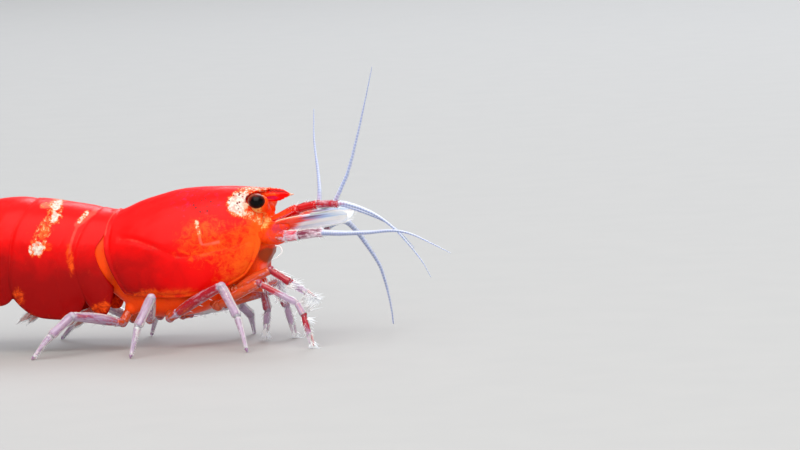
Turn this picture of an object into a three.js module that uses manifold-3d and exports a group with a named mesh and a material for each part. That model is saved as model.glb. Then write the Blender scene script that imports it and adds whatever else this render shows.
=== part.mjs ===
// A bee shrimp (Caridina), standing with its tail fan on the floor: a still, life-size model.
// Millimetres. +X runs to the head, +Y to the shrimp's left, +Z up. The floor is Z = 0 and the
// origin lies on it, in the midplane, below the rear edge of the carapace.
import * as THREE from "three";
import { mergeVertices } from "three/addons/utils/BufferGeometryUtils.js";
import Module from "manifold-3d";

const wasm = await Module();
wasm.setup();

// ---- driving dimensions -------------------------------------------------------------------
const gap = 0.07; // between neighbouring pieces
const leafThick = 0.5; // tail fan, swimmerets and antennal scales
const feelerRadius = 0.25;
const endDish = 0.3; // how far the ends of the body rings are hollowed, clear of each other
const carapaceFront = 6.68; // x of the front margin below the eye
const carapaceRear = -0.11; // x of the rear margin at its hindmost
const backHeight = 3.95; // z of the abdomen's centre line where it leaves the carapace
const eyeCentre = [6.43, 1.22, 6.25];
const eyeRadius = 0.42;
const rostrumTip = [7.88, 0, 6.4];
const rostrumTeeth = 4;
const somiteLengths = [1.35, 2.75, 2.75, 1.95, 1.85, 2.7];
const fanReach = 3.3; // length of the uropods
const sides = { R: -1, L: 1 }; // the sign of y on each side

// ---- colours ------------------------------------------------------------------------------
const finish = (color, roughness) => new THREE.MeshStandardMaterial({ color, roughness, metalness: 0 });
const shell = finish(0xd81408, 0.3);
const flesh = finish(0xe8561c, 0.4);
const limb = finish(0xe6d3dc, 0.35);
const feeler = finish(0xc3cbe2, 0.35);
const eyeBlack = finish(0x0c0708, 0.1);

// ---- small geometry helpers ---------------------------------------------------------------

// A smooth curve through [place, value] knots, as a function of place (cubic Hermite).
function curve(knots) {
  const slope = knots.map((k, i) => {
    const before = knots[Math.max(0, i - 1)];
    const after = knots[Math.min(knots.length - 1, i + 1)];
    return (after[1] - before[1]) / (after[0] - before[0]);
  });
  return (place) => {
    const at = THREE.MathUtils.clamp(place, knots[0][0], knots[knots.length - 1][0]);
    const i = Math.max(0, knots.findLastIndex((k, n) => k[0] <= at && n < knots.length - 1));
    const span = knots[i + 1][0] - knots[i][0];
    const t = (at - knots[i][0]) / span;
    const rise = knots[i + 1][1] - knots[i][1];
    const bend = slope[i] * span - rise;
    const unbend = rise - slope[i + 1] * span;
    return knots[i][1] + t * rise + t * (1 - t) * (bend * (1 - t) + unbend * t);
  };
}

// A closed skin over rings of equally many [x, y, z] points. Each end is closed by a fan, whose hub
// lies dish deeper than the rim.
function skinOver(rings, dish = 0) {
  const count = rings[0].length;
  const points = rings.flat();
  const faces = [];
  for (let r = 0; r + 1 < rings.length; r++)
    for (let i = 0; i < count; i++) {
      const a = r * count + i;
      const b = r * count + ((i + 1) % count);
      faces.push(a, b, a + count, b, b + count, a + count);
    }
  const last = rings.length - 1;
  for (const [end, next, turned] of [[0, 1, true], [last, last - 1, false]]) {
    const middle = centreOf(rings[end]);
    const inward = centreOf(rings[next]).sub(middle).normalize();
    const hub = points.push(middle.addScaledVector(inward, dish).toArray()) - 1;
    for (let i = 0; i < count; i++) {
      const rim = [end * count + i, end * count + ((i + 1) % count)];
      faces.push(hub, ...(turned ? rim.reverse() : rim));
    }
  }
  return facingOut(new THREE.BufferGeometry()
    .setAttribute("position", new THREE.Float32BufferAttribute(points.flat(), 3))
    .setIndex(faces));
}

function centreOf(ring) {
  const sum = new THREE.Vector3();
  ring.forEach((p) => sum.add(new THREE.Vector3(...p)));
  return sum.divideScalar(ring.length);
}

// A ring from its left half, whose first and last points lie in the midplane.
function bothSides(half) {
  const other = half.slice(1, -1).reverse().map(([y, z]) => [-y, z]);
  return [...half, ...other];
}

// Turns every face round if the closed surface holds a negative volume.
function facingOut(geometry) {
  const p = geometry.getAttribute("position");
  const index = geometry.index.array;
  const [a, b, c] = [new THREE.Vector3(), new THREE.Vector3(), new THREE.Vector3()];
  let volume = 0;
  for (let i = 0; i < index.length; i += 3) {
    [a, b, c].forEach((v, k) => v.fromBufferAttribute(p, index[i + k]));
    volume += a.dot(b.cross(c));
  }
  if (volume < 0)
    for (let i = 0; i < index.length; i += 3)
      [index[i + 1], index[i + 2]] = [index[i + 2], index[i + 1]];
  return geometry;
}

// A geometry as a manifold-3d solid, and back.
function solid(geometry) {
  const bare = geometry.clone();
  bare.deleteAttribute("normal");
  bare.deleteAttribute("uv");
  const merged = mergeVertices(bare, 1e-4);
  return new wasm.Manifold(new wasm.Mesh({
    numProp: 3,
    vertProperties: merged.getAttribute("position").array,
    triVerts: new Uint32Array(merged.index.array),
  }));
}
function geometryOf(made) {
  const mesh = made.getMesh();
  return new THREE.BufferGeometry()
    .setAttribute("position", new THREE.BufferAttribute(new Float32Array(mesh.vertProperties), 3))
    .setIndex(new THREE.BufferAttribute(new Uint32Array(mesh.triVerts), 1));
}

// The largest piece of a geometry less other geometries.
function cut(geometry, ...tools) {
  const left = tools.reduce((rest, tool) => rest.subtract(solid(tool)), solid(geometry));
  return geometryOf(left.decompose().reduce((a, b) => (a.volume() > b.volume() ? a : b)));
}

// The same on what lies above the floor, which leaves a small flat where a piece stands.
function onFloor(geometry) {
  const below = new THREE.BoxGeometry(80, 40, 10).translate(0, 0, -5);
  return cut(geometry, below);
}

// The same mirrored to the shrimp's other side.
function mirrored(geometry, side) {
  return side > 0 ? geometry : facingOut(geometry.clone().scale(1, -1, 1));
}

// An ellipsoid of rows by columns, turned by the Euler angles and moved to its place.
function egg(radii, place, turn = [0, 0, 0], [columns, rows] = [12, 8]) {
  return new THREE.SphereGeometry(1, columns, rows)
    .scale(...radii)
    .applyMatrix4(new THREE.Matrix4().makeRotationFromEuler(new THREE.Euler(...turn)))
    .translate(...place);
}

// A path of straight lengths with rounded corners, through the given joints.
function jointedPath(joints, corner) {
  const p = joints.map((j) => new THREE.Vector3(...j));
  const path = new THREE.CurvePath();
  let from = p[0];
  for (let i = 1; i + 1 < p.length; i++) {
    const before = p[i].clone().lerp(p[i - 1], Math.min(0.45, corner / p[i].distanceTo(p[i - 1])));
    const after = p[i].clone().lerp(p[i + 1], Math.min(0.45, corner / p[i].distanceTo(p[i + 1])));
    path.add(new THREE.LineCurve3(from, before));
    path.add(new THREE.QuadraticBezierCurve3(before, p[i], after));
    from = after;
  }
  path.add(new THREE.LineCurve3(from, p[p.length - 1]));
  return path;
}

// A limb or feeler along a path: radius(t) is its radius at t of its length.
function limbAlong(path, steps, around, radius) {
  path.arcLengthDivisions = 200;
  const frames = path.computeFrenetFrames(steps);
  const rings = [];
  for (let i = 0; i <= steps; i++) {
    const at = path.getPointAt(i / steps);
    const r = radius(i / steps);
    rings.push(Array.from({ length: around }, (_, k) => {
      const angle = (2 * Math.PI * k) / around;
      return at.clone()
        .addScaledVector(frames.normals[i], r * Math.cos(angle))
        .addScaledVector(frames.binormals[i], r * Math.sin(angle))
        .toArray();
    }));
  }
  return skinOver(rings);
}

// The part's group, and the one way that a node gets into it.
const shrimp = new THREE.Group();
function node(name, geometry, material) {
  const mesh = new THREE.Mesh(geometry, material);
  mesh.name = name;
  shrimp.add(mesh);
}

// ---- carapace, rostrum and head -----------------------------------------------------------

const carapaceTop = curve([[-0.4, 5.98], [0.5, 6.04], [1.4, 6.4], [3, 6.79], [4.7, 6.88], [6, 6.77],
  [7, 6.7]]);
const carapaceEdge = curve([[-0.4, 2.9], [0.9, 2.42], [3, 2.26], [4.5, 2.48], [5.6, 2.95], [6.4, 3.6],
  [7, 4.1]]);
const carapaceHalfWidth = curve([[-0.4, 1.72], [1, 1.88], [2.6, 1.98], [4.2, 1.85], [5.6, 1.48], [6.7, 1.06]]);
const carapaceWaist = curve([[-0.4, 4.2], [3, 4.1], [5, 4.4], [6.7, 4.95]]);
const lowestTurn = 68; // the angle below the waist at which the sides end
const rearMargin = (z) => carapaceRear + 0.2 * (z - 4.7) ** 2;

// One ring across the carapace: an arch down to the waist, sides that draw in to the lower edge.
function carapaceRing(x, grow) {
  const [top, edge] = [carapaceTop(x) + grow, carapaceEdge(x) - grow];
  const [wide, waist] = [carapaceHalfWidth(x) + grow, carapaceWaist(x)];
  const half = [];
  for (const turn of [90, 70, 50, 32, 15, 0]) {
    const a = THREE.MathUtils.degToRad(turn);
    half.push([wide * Math.cos(a) ** 0.92, waist + (top - waist) * Math.sin(a) ** 0.96]);
  }
  for (const turn of [22, 45, lowestTurn]) {
    const a = THREE.MathUtils.degToRad(turn);
    const share = Math.sin(a) / Math.sin(THREE.MathUtils.degToRad(lowestTurn));
    half.push([wide * Math.cos(a) ** 0.32, waist - (waist - edge) * share]);
  }
  half.push([half[half.length - 1][0] - 0.35, edge + 0.02]);
  half.push([0, edge + 0.25]);
  return bothSides(half);
}

// The whole cephalothorax under its shell. Its rear margin is curved, seen from the side.
function carapaceForm(grow = 0) {
  const rings = [];
  for (const t of [0, 0.08, 0.2, 0.34, 0.48, 0.62, 0.75, 0.86, 0.94, 1]) {
    const flat = THREE.MathUtils.lerp(carapaceRear - grow, carapaceFront + grow, t);
    rings.push(carapaceRing(flat, grow).map(([, level], i) => {
      const x = flat + (1 - t) * (rearMargin(level) - carapaceRear);
      return [x, ...carapaceRing(x, grow)[i]];
    }));
  }
  return skinOver(rings, endDish);
}

// The hollow that an eye lies in.
const orbit = (side) => egg([0.85, 0.85, 0.62], [6.78, side * 1.17, 6.15], [0, 0, 0], [12, 6]);

function carapace(grow = 0) {
  return cut(carapaceForm(grow), orbit(1), orbit(-1));
}

// A short blade between the eyes, with its teeth along the upper edge.
function rostrum(grow = 0) {
  const base = carapaceFront + gap;
  const outline = new THREE.Shape([
    new THREE.Vector2(base, 6.0),
    new THREE.Vector2(base, carapaceTop(base)),
  ]);
  const along = (t) => THREE.MathUtils.lerp(base, rostrumTip[0], t);
  const upper = (t) => carapaceTop(base) - (carapaceTop(base) - rostrumTip[2] - 0.08) * t * t;
  for (let i = 0; i < rostrumTeeth; i++) {
    const [from, to] = [i / rostrumTeeth, (i + 0.8) / rostrumTeeth];
    outline.lineTo(along(from) + 0.12, upper(from));
    outline.lineTo(along(to), upper(to) + 0.07);
  }
  outline.lineTo(rostrumTip[0], rostrumTip[2] + 0.02);
  outline.lineTo(rostrumTip[0] - 0.3, 6.28);
  outline.lineTo(base + 0.3, 6.08);
  const blade = new THREE.ExtrudeGeometry(outline, { depth: leafThick + 2 * grow, bevelEnabled: false })
    .rotateX(Math.PI / 2)
    .translate(0, leafThick / 2 + grow, 0);
  return facingOut(mergeVertices(bareOf(blade), 1e-4));
}
function bareOf(geometry) {
  geometry.deleteAttribute("normal");
  geometry.deleteAttribute("uv");
  return geometry;
}

// The soft front of the head, which carries eyes, feelers and mouthparts.
function head(grow = 0) {
  const rings = [
    [6.3, 0.8, 5.95, 3.7],
    [6.72, 0.95, 5.9, 3.85],
    [6.95, 0.85, 5.75, 4.05],
    [7.12, 0.6, 5.55, 4.35],
  ].map(([x, wide, top, low]) => Array.from({ length: 14 }, (_, k) => {
    const a = (2 * Math.PI * k) / 14;
    const z = (top + low) / 2 + ((top - low) / 2 + grow) * Math.sin(a);
    return [x, (wide + grow) * Math.cos(a), z];
  }));
  return grow > 0 ? skinOver(rings) : cut(skinOver(rings), carapace(gap), rostrum(gap));
}

node("carapace", carapace(), shell);
node("rostrum", rostrum(), shell);
node("head", head(), flesh);

// ---- abdomen ------------------------------------------------------------------------------

// The centre line, by its downward slope in degrees at each length along it.
const slope = curve([[0, 0], [1.6, -5], [3.8, -2], [6.6, 14], [8.6, 25], [10.6, 31], [13.6, 31]]);
const lineStep = 0.05;
const centreLine = [[0, backHeight]];
for (let s = 0; s < 15; s += lineStep) {
  const [x, z] = centreLine[centreLine.length - 1];
  const a = THREE.MathUtils.degToRad(slope(s + lineStep / 2));
  centreLine.push([x - lineStep * Math.cos(a), z - lineStep * Math.sin(a)]);
}

// A place y to the side of and z above the centre line, s along it from the carapace.
function byBack(s, y, z) {
  const at = Math.min(Math.max(s / lineStep, 0), centreLine.length - 2);
  const [i, part] = [Math.floor(at), at - Math.floor(at)];
  const a = THREE.MathUtils.degToRad(slope(s));
  const x0 = THREE.MathUtils.lerp(centreLine[i][0], centreLine[i + 1][0], part) - Math.min(0, s);
  const z0 = THREE.MathUtils.lerp(centreLine[i][1], centreLine[i + 1][1], part);
  return [x0 - z * Math.sin(a), y, z0 + z * Math.cos(a)];
}

const backTop = curve([[0, 2.08], [1.4, 2.1], [4, 2.55], [5.5, 2.48], [7, 2.12], [9, 1.6], [11, 1.15],
  [13.4, 0.78]]);
const backHalfWidth = curve([[0, 1.6], [2, 1.78], [4, 1.85], [6, 1.7], [8, 1.42], [10, 1.15], [13.4, 0.72]]);
const bellyDrop = curve([[0, 1.5], [3, 1.5], [6, 1.3], [8, 1.1], [10, 0.85], [13.4, 0.6]]);
const flapDrop = [2.42, 2.62, 2.1, 1.75, 1.42, 0.95];
const marginBow = [0, 0.19, 0.15, 0.11, 0.08, 0.06, 0.04]; // by margin, from the carapace back
const somiteEnds = somiteLengths.reduce((ends, long) => [...ends, ends[ends.length - 1] + long], [0]);

// How far along the back the margin between two rings lies, at height z off the centre line. The
// first follows the carapace's rear margin, and the others bow forward above and below.
function marginAt(i, z) {
  if (i === 0) return -rearMargin(backHeight + Math.max(z, -1.2));
  return somiteEnds[i] - marginBow[i] * z * z * (z > 0 ? 1 : 0.5);
}

// One ring across a body ring of the abdomen: tergite arch, side flaps, and the hollow belly between.
function somiteRing(s, flap, scale) {
  const [up, wide, belly] = [backTop(s) * scale, backHalfWidth(s) * scale, bellyDrop(s)];
  const low = Math.max(flap, belly + 0.12);
  const half = [[0, up]];
  for (const turn of [66, 44, 22, 0]) {
    const a = THREE.MathUtils.degToRad(turn);
    half.push([wide * Math.cos(a) ** 0.85, up * Math.sin(a) ** 0.95]);
  }
  half.push([0.97 * wide, -0.55 * low], [0.84 * wide, -low], [0.84 * wide - 0.42, -low + 0.05]);
  half.push([Math.max(0.2, 0.84 * wide - 0.52), -belly], [0, -belly]);
  return bothSides(half);
}

// How far the side flap of a body ring hangs at t of its length. The last one has no lobe.
function flapAt(i, t) {
  if (i === somiteLengths.length - 1) return THREE.MathUtils.lerp(flapDrop[i], 0.7, t);
  return flapDrop[i] * (1 - 0.3 * Math.abs(2 * t - 1) ** 3);
}

// A body ring of the abdomen, a little narrower in front, where it slips under the one before.
function somite(i, grow = 0) {
  const rings = [0, 0.12, 0.36, 0.64, 0.88, 1].map((t) => {
    const s = THREE.MathUtils.lerp(somiteEnds[i], somiteEnds[i + 1], t);
    const scale = THREE.MathUtils.lerp(0.965, 1, t) + grow / 2;
    return somiteRing(s, flapAt(i, t) + grow, scale).map(([y, z]) => {
      const from = marginAt(i, z) + gap / 2 - grow;
      const to = marginAt(i + 1, z) - gap / 2 + grow;
      return byBack(THREE.MathUtils.lerp(from, to, t), y, z);
    });
  });
  return skinOver(rings, endDish);
}

node("abdomen_1", cut(somite(0), carapaceForm(gap)), shell);
for (let i = 1; i < somiteLengths.length; i++) node(`abdomen_${i + 1}`, somite(i), shell);

// ---- tail fan -----------------------------------------------------------------------------

// A leaf with a rounded end: half width by share of its length, from its root towards -X.
function leaf(long, halfWidth, thick, around = 8) {
  const rings = [0, 0.12, 0.3, 0.52, 0.72, 0.87, 0.96, 1].map((t) => Array.from({ length: around }, (_, k) => {
    const a = (2 * Math.PI * k) / around;
    const [c, d] = [Math.cos(a), Math.sin(a)];
    const flatter = Math.sign(d) * Math.abs(d) ** 0.6;
    return [-long * t, halfWidth(t) * c, (thick(t) / 2) * flatter];
  }));
  return skinOver(rings);
}

// Turns a leaf by its pitch (tip down), roll and spread (tip outward), and puts its root in place.
function placed(geometry, place, { pitch = 0, roll = 0, spread = 0 }) {
  const [p, r, w] = [pitch, roll, spread].map(THREE.MathUtils.degToRad);
  const turn = new THREE.Matrix4().makeRotationZ(-w)
    .multiply(new THREE.Matrix4().makeRotationY(-p))
    .multiply(new THREE.Matrix4().makeRotationX(r));
  return geometry.applyMatrix4(turn).translate(...place);
}

const tailRoot = byBack(somiteEnds[6] + gap, 0, 0);
const telsonHalfWidth = curve([[0, 0.5], [0.3, 0.5], [0.85, 0.3], [1, 0.25]]);
const innerHalfWidth = curve([[0, 0.25], [0.25, 0.42], [0.6, 0.55], [0.87, 0.46], [1, 0.25]]);
const outerHalfWidth = curve([[0, 0.25], [0.25, 0.5], [0.6, 0.68], [0.87, 0.58], [1, 0.3]]);
const leafDepth = (t) => (t > 0.99 ? leafThick * 0.9 : leafThick);

function telson() {
  const plate = leaf(fanReach - 0.25, telsonHalfWidth, (t) => (t < 0.2 ? 0.8 : 0.56));
  return placed(plate, [tailRoot[0] - 0.02, 0, tailRoot[2] + 0.2], { pitch: 14 });
}
function innerUropod(side) {
  const place = [tailRoot[0] + 0.13, 0.78, tailRoot[2] - 0.22];
  const plate = placed(leaf(fanReach, innerHalfWidth, leafDepth), place, { pitch: 9, spread: 8, roll: -4 });
  return cut(onFloor(mirrored(plate, side)), somite(5, gap));
}
function outerUropod(side) {
  const place = [tailRoot[0] + 0.22, 1, tailRoot[2] - 0.22];
  const plate = placed(leaf(fanReach, outerHalfWidth, leafDepth), place, { pitch: 9, spread: 30, roll: -6 });
  return cut(onFloor(mirrored(plate, side)), somite(5, gap), innerUropod(side));
}

node("telson", telson(), shell);
for (const [name, side] of Object.entries(sides)) {
  node(`uropod_inner_${name}`, innerUropod(side), shell);
  node(`uropod_outer_${name}`, outerUropod(side), shell);
}

// ---- eyes ---------------------------------------------------------------------------------

const eyeball = (side) => egg([eyeRadius, eyeRadius, eyeRadius * 0.9],
  [eyeCentre[0], side * eyeCentre[1], eyeCentre[2]]);

// A short stalk from the head's side to the back of the eyeball.
function eyeStalk(side) {
  const from = [6.75, side * 0.38, 5.8];
  const to = [eyeCentre[0], side * eyeCentre[1], eyeCentre[2] - 0.02];
  const stalk = limbAlong(jointedPath([from, to], 0), 2, 6, (t) => 0.26 + 0.08 * t);
  const socket = egg([eyeRadius + gap, eyeRadius + gap, eyeRadius * 0.9 + gap], to);
  return cut(stalk, socket, carapace(gap), head(gap));
}

for (const [name, side] of Object.entries(sides)) {
  node(`eye_${name}`, eyeball(side), eyeBlack);
  node(`eye_stalk_${name}`, eyeStalk(side), flesh);
}

// ---- feelers ------------------------------------------------------------------------------

// The three joints of an antennule's base run out of the head below the eye.
const antennuleJoints = {
  R: [[6.85, -0.42, 5.2], [8.24, -0.6, 5.86], [9.05, -0.72, 6.02], [10.02, -0.85, 6.02]],
  L: [[6.85, 0.42, 5.2], [8.1, 0.6, 5.78], [8.75, 0.72, 5.97], [9.3, 0.8, 6.0]],
};
const antennuleBase = (name, grow = 0) => limbAlong(jointedPath(antennuleJoints[name], 0.2), 9, 8,
  curve([[0, 0.38 + grow], [0.5, 0.3 + grow], [1, 0.27 + grow]]));

// The antenna's base lies below its scale, and ends in the long feeler.
const antennaJoints = {
  R: [[6.7, -0.95, 4.62], [7.9, -1.22, 4.72], [9.05, -1.38, 4.86]],
  L: [[6.7, 0.95, 4.62], [7.9, 1.22, 4.76], [9.05, 1.4, 4.9]],
};
const antennaBase = (name, grow = 0) => limbAlong(jointedPath(antennaJoints[name], 0.2), 6, 8,
  curve([[0, 0.38 + grow], [0.5, 0.32 + grow], [1, 0.26 + grow]]));

// The six feelers, each by a few points that its curve runs through.
const feelers = {
  antennule_outer_R: [[9.8, -0.86, 6.1], [9.95, -0.88, 6.5], [10.36, -0.9, 7.2], [10.94, -0.92, 8.77],
    [11.3, -0.95, 10.05], [11.68, -1, 11.8]],
  antennule_inner_R: [[9.95, -0.86, 6.02], [10.5, -0.93, 5.96], [11.1, -1, 5.78], [11.87, -1.1, 5.34],
    [12.64, -1.2, 4.68], [13.28, -1.3, 3.86], [13.91, -1.4, 2.9]],
  antennule_outer_L: [[9.2, 0.8, 6.0], [9.05, 1.05, 6.5], [8.8, 1.8, 7.3], [8.5, 2.8, 8.5], [8.3, 3.8, 9.9]],
  antennule_inner_L: [[9.2, 0.8, 6.0], [9.9, 0.74, 5.9], [10.6, 0.98, 5.58], [11.4, 1.7, 4.95],
    [12, 2.3, 4.28], [12.57, 2.7, 3.41], [13.04, 3, 2.46]],
  antenna_R: [[8.95, -1.37, 4.82], [9.4, -1.62, 4.68], [10.3, -2.2, 4.72], [11.51, -2.75, 4.86],
    [12.8, -3.25, 4.92], [14.2, -3.8, 4.67], [15.4, -4.2, 4.15]],
  antenna_L: [[8.95, 1.39, 4.92], [9.5, 1.65, 4.74], [10.2, 2.05, 4.3], [10.68, 2.4, 3.46],
    [11.1, 2.8, 2.15], [11.21, 3.2, 1.24], [11.2, 3.5, 0.4]],
};
function feelerAlong(points, grow = 0) {
  const path = new THREE.CatmullRomCurve3(points.map((p) => new THREE.Vector3(...p)));
  return limbAlong(path, 11, 6, () => feelerRadius + grow);
}

for (const name of Object.keys(sides)) {
  const [outer, inner] = [feelers[`antennule_outer_${name}`], feelers[`antennule_inner_${name}`]];
  const besideBase = antennuleBase(name, gap);
  node(`antennule_base_${name}`, cut(antennuleBase(name), head(gap)), limb);
  node(`antennule_outer_${name}`, cut(feelerAlong(outer), besideBase), feeler);
  node(`antennule_inner_${name}`, cut(feelerAlong(inner), besideBase, feelerAlong(outer, gap)), feeler);
  node(`antenna_base_${name}`, cut(antennaBase(name), head(gap), carapaceForm(gap), besideBase), limb);
  node(`antenna_${name}`, cut(feelerAlong(feelers[`antenna_${name}`]), antennaBase(name, gap)), feeler);
}

// The antennal scales: long blades above the antenna bases, sloping outwards.
const scaleHalfWidth = curve([[0, 0.25], [0.2, 0.42], [0.6, 0.5], [0.87, 0.42], [1, 0.25]]);
function antennaScale(name) {
  const plate = leaf(-3.35, scaleHalfWidth, leafDepth);
  const blade = placed(plate, [7.15, 1.15, 5.2], { pitch: 6, spread: -5, roll: 42 });
  const long = feelerAlong(feelers[`antenna_${name}`], gap);
  return cut(mirrored(blade, sides[name]), antennaBase(name, gap), antennuleBase(name, gap), long, head(gap));
}
for (const name of Object.keys(sides)) node(`antenna_scale_${name}`, antennaScale(name), feeler);

// ---- underside of the head and thorax -----------------------------------------------------

// A keel-shaped block along x, from rings of [x, half width, bottom], its top hidden in the carapace.
function keel(stations, top, grow = 0) {
  return skinOver(stations.map(([x, wide, low]) => bothSides([
    [0, top],
    [wide * 0.8, top],
    [wide + grow, (top + low) / 2 + 0.3],
    [wide * 0.85 + grow, low + 0.25],
    [wide * 0.4, low - grow],
    [0, low - grow],
  ]).map(([y, z]) => [x, y, z])));
}
const thoraxBlock = (grow = 0) => keel([[0.6 - grow, 0.85, 1.75], [0.95, 1.05, 1.4], [2, 1.12, 1.22],
  [3.4, 1.08, 1.35], [4.6 + grow, 0.95, 1.75]], 3, grow);
const mouthBlock = (grow = 0) => keel([[4.68 - grow, 0.9, 1.8], [5.3, 0.85, 2.1], [6.1, 0.72, 2.75],
  [6.75 + grow, 0.5, 3.45]], 4.2, grow);

node("thorax", cut(thoraxBlock(), carapaceForm(gap), somite(0, gap)), flesh);
node("mouthparts", cut(mouthBlock(), carapaceForm(gap), head(gap)), flesh);

// ---- legs ---------------------------------------------------------------------------------

// Each leg by its joints, root first: [x, distance to the side, z]. The walking legs end in the
// floor, where they are cut flat.
const legJoints = {
  leg1_R: [[5.0, 0.6, 2.4], [5.4, 0.85, 2.5], [6.96, 1.0, 3.3], [7.81, 1.05, 2.75], [8.93, 1.15, 2.0]],
  leg2_R: [[4.3, 0.6, 2.0], [4.6, 1.0, 1.8], [6.55, 1.62, 2.8], [8.25, 1.85, 1.95], [8.56, 1.92, 1.36],
    [8.85, 2, -0.2]],
  leg3_R: [[2.5, 0.6, 1.9], [2.48, 1.0, 1.3], [5.04, 2.3, 2.77], [5.41, 2.55, 1.9], [6.2, 3.05, -0.2]],
  leg4_R: [[1.5, 0.6, 1.9], [1.6, 1.0, 1.25], [2.13, 3.5, 2.45], [1.6, 3.95, 1.37], [1.2, 4.3, -0.2]],
  leg5_R: [[0.75, 0.5, 1.9], [0.4, 1.0, 1.15], [-1.46, 3.0, 1.72], [-2.16, 3.45, 1.11], [-3.15, 4.0, -0.2]],
  leg1_L: [[5.0, 0.6, 2.4], [5.3, 0.78, 2.4], [6.15, 1.0, 2.5], [6.3, 1.2, 1.35], [6.15, 1.3, 0.3]],
  leg2_L: [[4.3, 0.6, 2.0], [4.6, 1.05, 1.7], [6.6, 1.85, 2.15], [6.98, 2.0, 1.45], [7.3, 2.15, -0.2]],
  leg3_L: [[2.5, 0.6, 1.9], [2.6, 1.0, 1.25], [4.75, 2.7, 1.5], [5.1, 3.4, 0.95], [5.05, 4.4, -0.2]],
  leg4_L: [[1.5, 0.6, 1.9], [1.6, 1.0, 1.25], [1.45, 3.4, 2.3], [0.9, 3.9, 1.3], [0.35, 4.3, -0.2]],
  leg5_L: [[0.75, 0.5, 1.9], [0.4, 1.0, 1.15], [-1.7, 3.0, 1.7], [-2.5, 3.45, 1.05], [-3.75, 3.95, -0.2]],
};
const walkingGirth = curve([[0, 0.3], [0.25, 0.31], [0.55, 0.27], [0.8, 0.26], [1, 0.25]]);
const clawGirth = curve([[0, 0.28], [0.3, 0.29], [0.5, 0.26], [0.68, 0.27], [0.8, 0.36], [0.92, 0.3],
  [1, 0.25]]);

function leg(name) {
  const side = sides[name.at(-1)];
  const path = jointedPath(legJoints[name].map(([x, y, z]) => [x, side * y, z]), 0.3);
  const girth = /leg[12]/.test(name) ? clawGirth : walkingGirth;
  return cut(onFloor(limbAlong(path, 12, 6, girth)), thoraxBlock(gap), mouthBlock(gap), carapaceForm(gap));
}
for (const name of Object.keys(legJoints)) node(name, leg(name), limb);

// The third maxillipeds: short jaw legs beside each other under the mouth.
function maxilliped(side) {
  const joints = [[5.4, 0.33, 2.6], [6.5, 0.34, 2.45], [7.15, 0.35, 2.75], [7.2, 0.37, 1.9]];
  const tube = limbAlong(jointedPath(joints.map(([x, y, z]) => [x, side * y, z]), 0.3), 9, 8, () => 0.26);
  return cut(tube, mouthBlock(gap));
}
for (const [name, side] of Object.entries(sides)) node(`maxilliped_${name}`, maxilliped(side), limb);

// ---- swimmerets ---------------------------------------------------------------------------

const swimmeretHalfWidth = curve([[0, 0.3], [0.3, 0.42], [0.7, 0.45], [1, 0.28]]);
for (let i = 0; i < 5; i++) {
  const s = (somiteEnds[i] + somiteEnds[i + 1]) / 2 - 0.1;
  const long = 2.1 - 0.16 * i;
  const width = 1 - 0.12 * i;
  const root = byBack(s, 0.15 + 0.47 * width, -bellyDrop(s) - gap - leafThick / 2 - 0.03);
  for (const [name, side] of Object.entries(sides)) {
    const outline = leaf(long, (t) => width * swimmeretHalfWidth(t), () => leafThick, 6);
    const blade = mirrored(placed(outline, root, { pitch: 42 + 2 * i }), side);
    node(`swimmeret_${i + 1}_${name}`, cut(blade, somite(i, gap)), flesh);
  }
}

export default shrimp;
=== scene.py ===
import math
import bpy
import numpy as np
from mathutils import Matrix, Vector


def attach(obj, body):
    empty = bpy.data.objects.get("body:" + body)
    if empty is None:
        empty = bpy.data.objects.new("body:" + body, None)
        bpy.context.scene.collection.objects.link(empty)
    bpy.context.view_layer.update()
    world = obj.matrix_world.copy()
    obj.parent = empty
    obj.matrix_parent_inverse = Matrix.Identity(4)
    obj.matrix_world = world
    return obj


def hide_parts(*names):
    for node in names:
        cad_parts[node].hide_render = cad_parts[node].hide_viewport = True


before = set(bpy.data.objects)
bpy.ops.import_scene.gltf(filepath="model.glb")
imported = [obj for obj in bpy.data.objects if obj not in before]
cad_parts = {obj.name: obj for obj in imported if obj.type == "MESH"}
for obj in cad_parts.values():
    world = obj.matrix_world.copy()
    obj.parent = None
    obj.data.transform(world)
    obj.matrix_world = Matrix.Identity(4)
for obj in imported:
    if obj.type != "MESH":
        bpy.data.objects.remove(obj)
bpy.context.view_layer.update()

# A bee shrimp, life size. Shapes are worked out in millimetres, with the head to +X, the shrimp's
# left to +Y and the floor at zero. addPiece turns them to metres.
mm = 0.001
sides = {"R": -1, "L": 1}
dice = np.random.default_rng(11)


# ways of making shapes

def curve(*knots):
    # Smooth curve through (place, value) knots: cubic Hermite with the slopes of the chords.
    place, value = np.array(knots, float).T
    number = np.arange(len(place))
    before, after = np.maximum(number - 1, 0), np.minimum(number + 1, len(place) - 1)
    slope = (value[after] - value[before]) / (place[after] - place[before])

    def at(x):
        x = np.clip(x, place[0], place[-1])
        i = np.clip(np.searchsorted(place, x, side="right") - 1, 0, len(place) - 2)
        span = place[i + 1] - place[i]
        t = (x - place[i]) / span
        rise = value[i + 1] - value[i]
        bend = slope[i] * span - rise
        unbend = rise - slope[i + 1] * span
        return value[i] + t * rise + t * (1 - t) * (bend * (1 - t) + unbend * t)
    return at


def smooth(low, high, x):
    # 0 below low, 1 above high, and the cubic 3t^2 - 2t^3 between.
    t = np.clip((x - low) / (high - low), 0, 1)
    return t * t * (3 - 2 * t)


def bell(x, middle, width):
    # 1 at the middle, falling away on both sides: exp(-((x - middle) / width)^2).
    return np.exp(-((x - middle) / width) ** 2)


def unit(v):
    return v / np.maximum(np.linalg.norm(v, axis=-1, keepdims=True), 1e-12)


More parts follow.
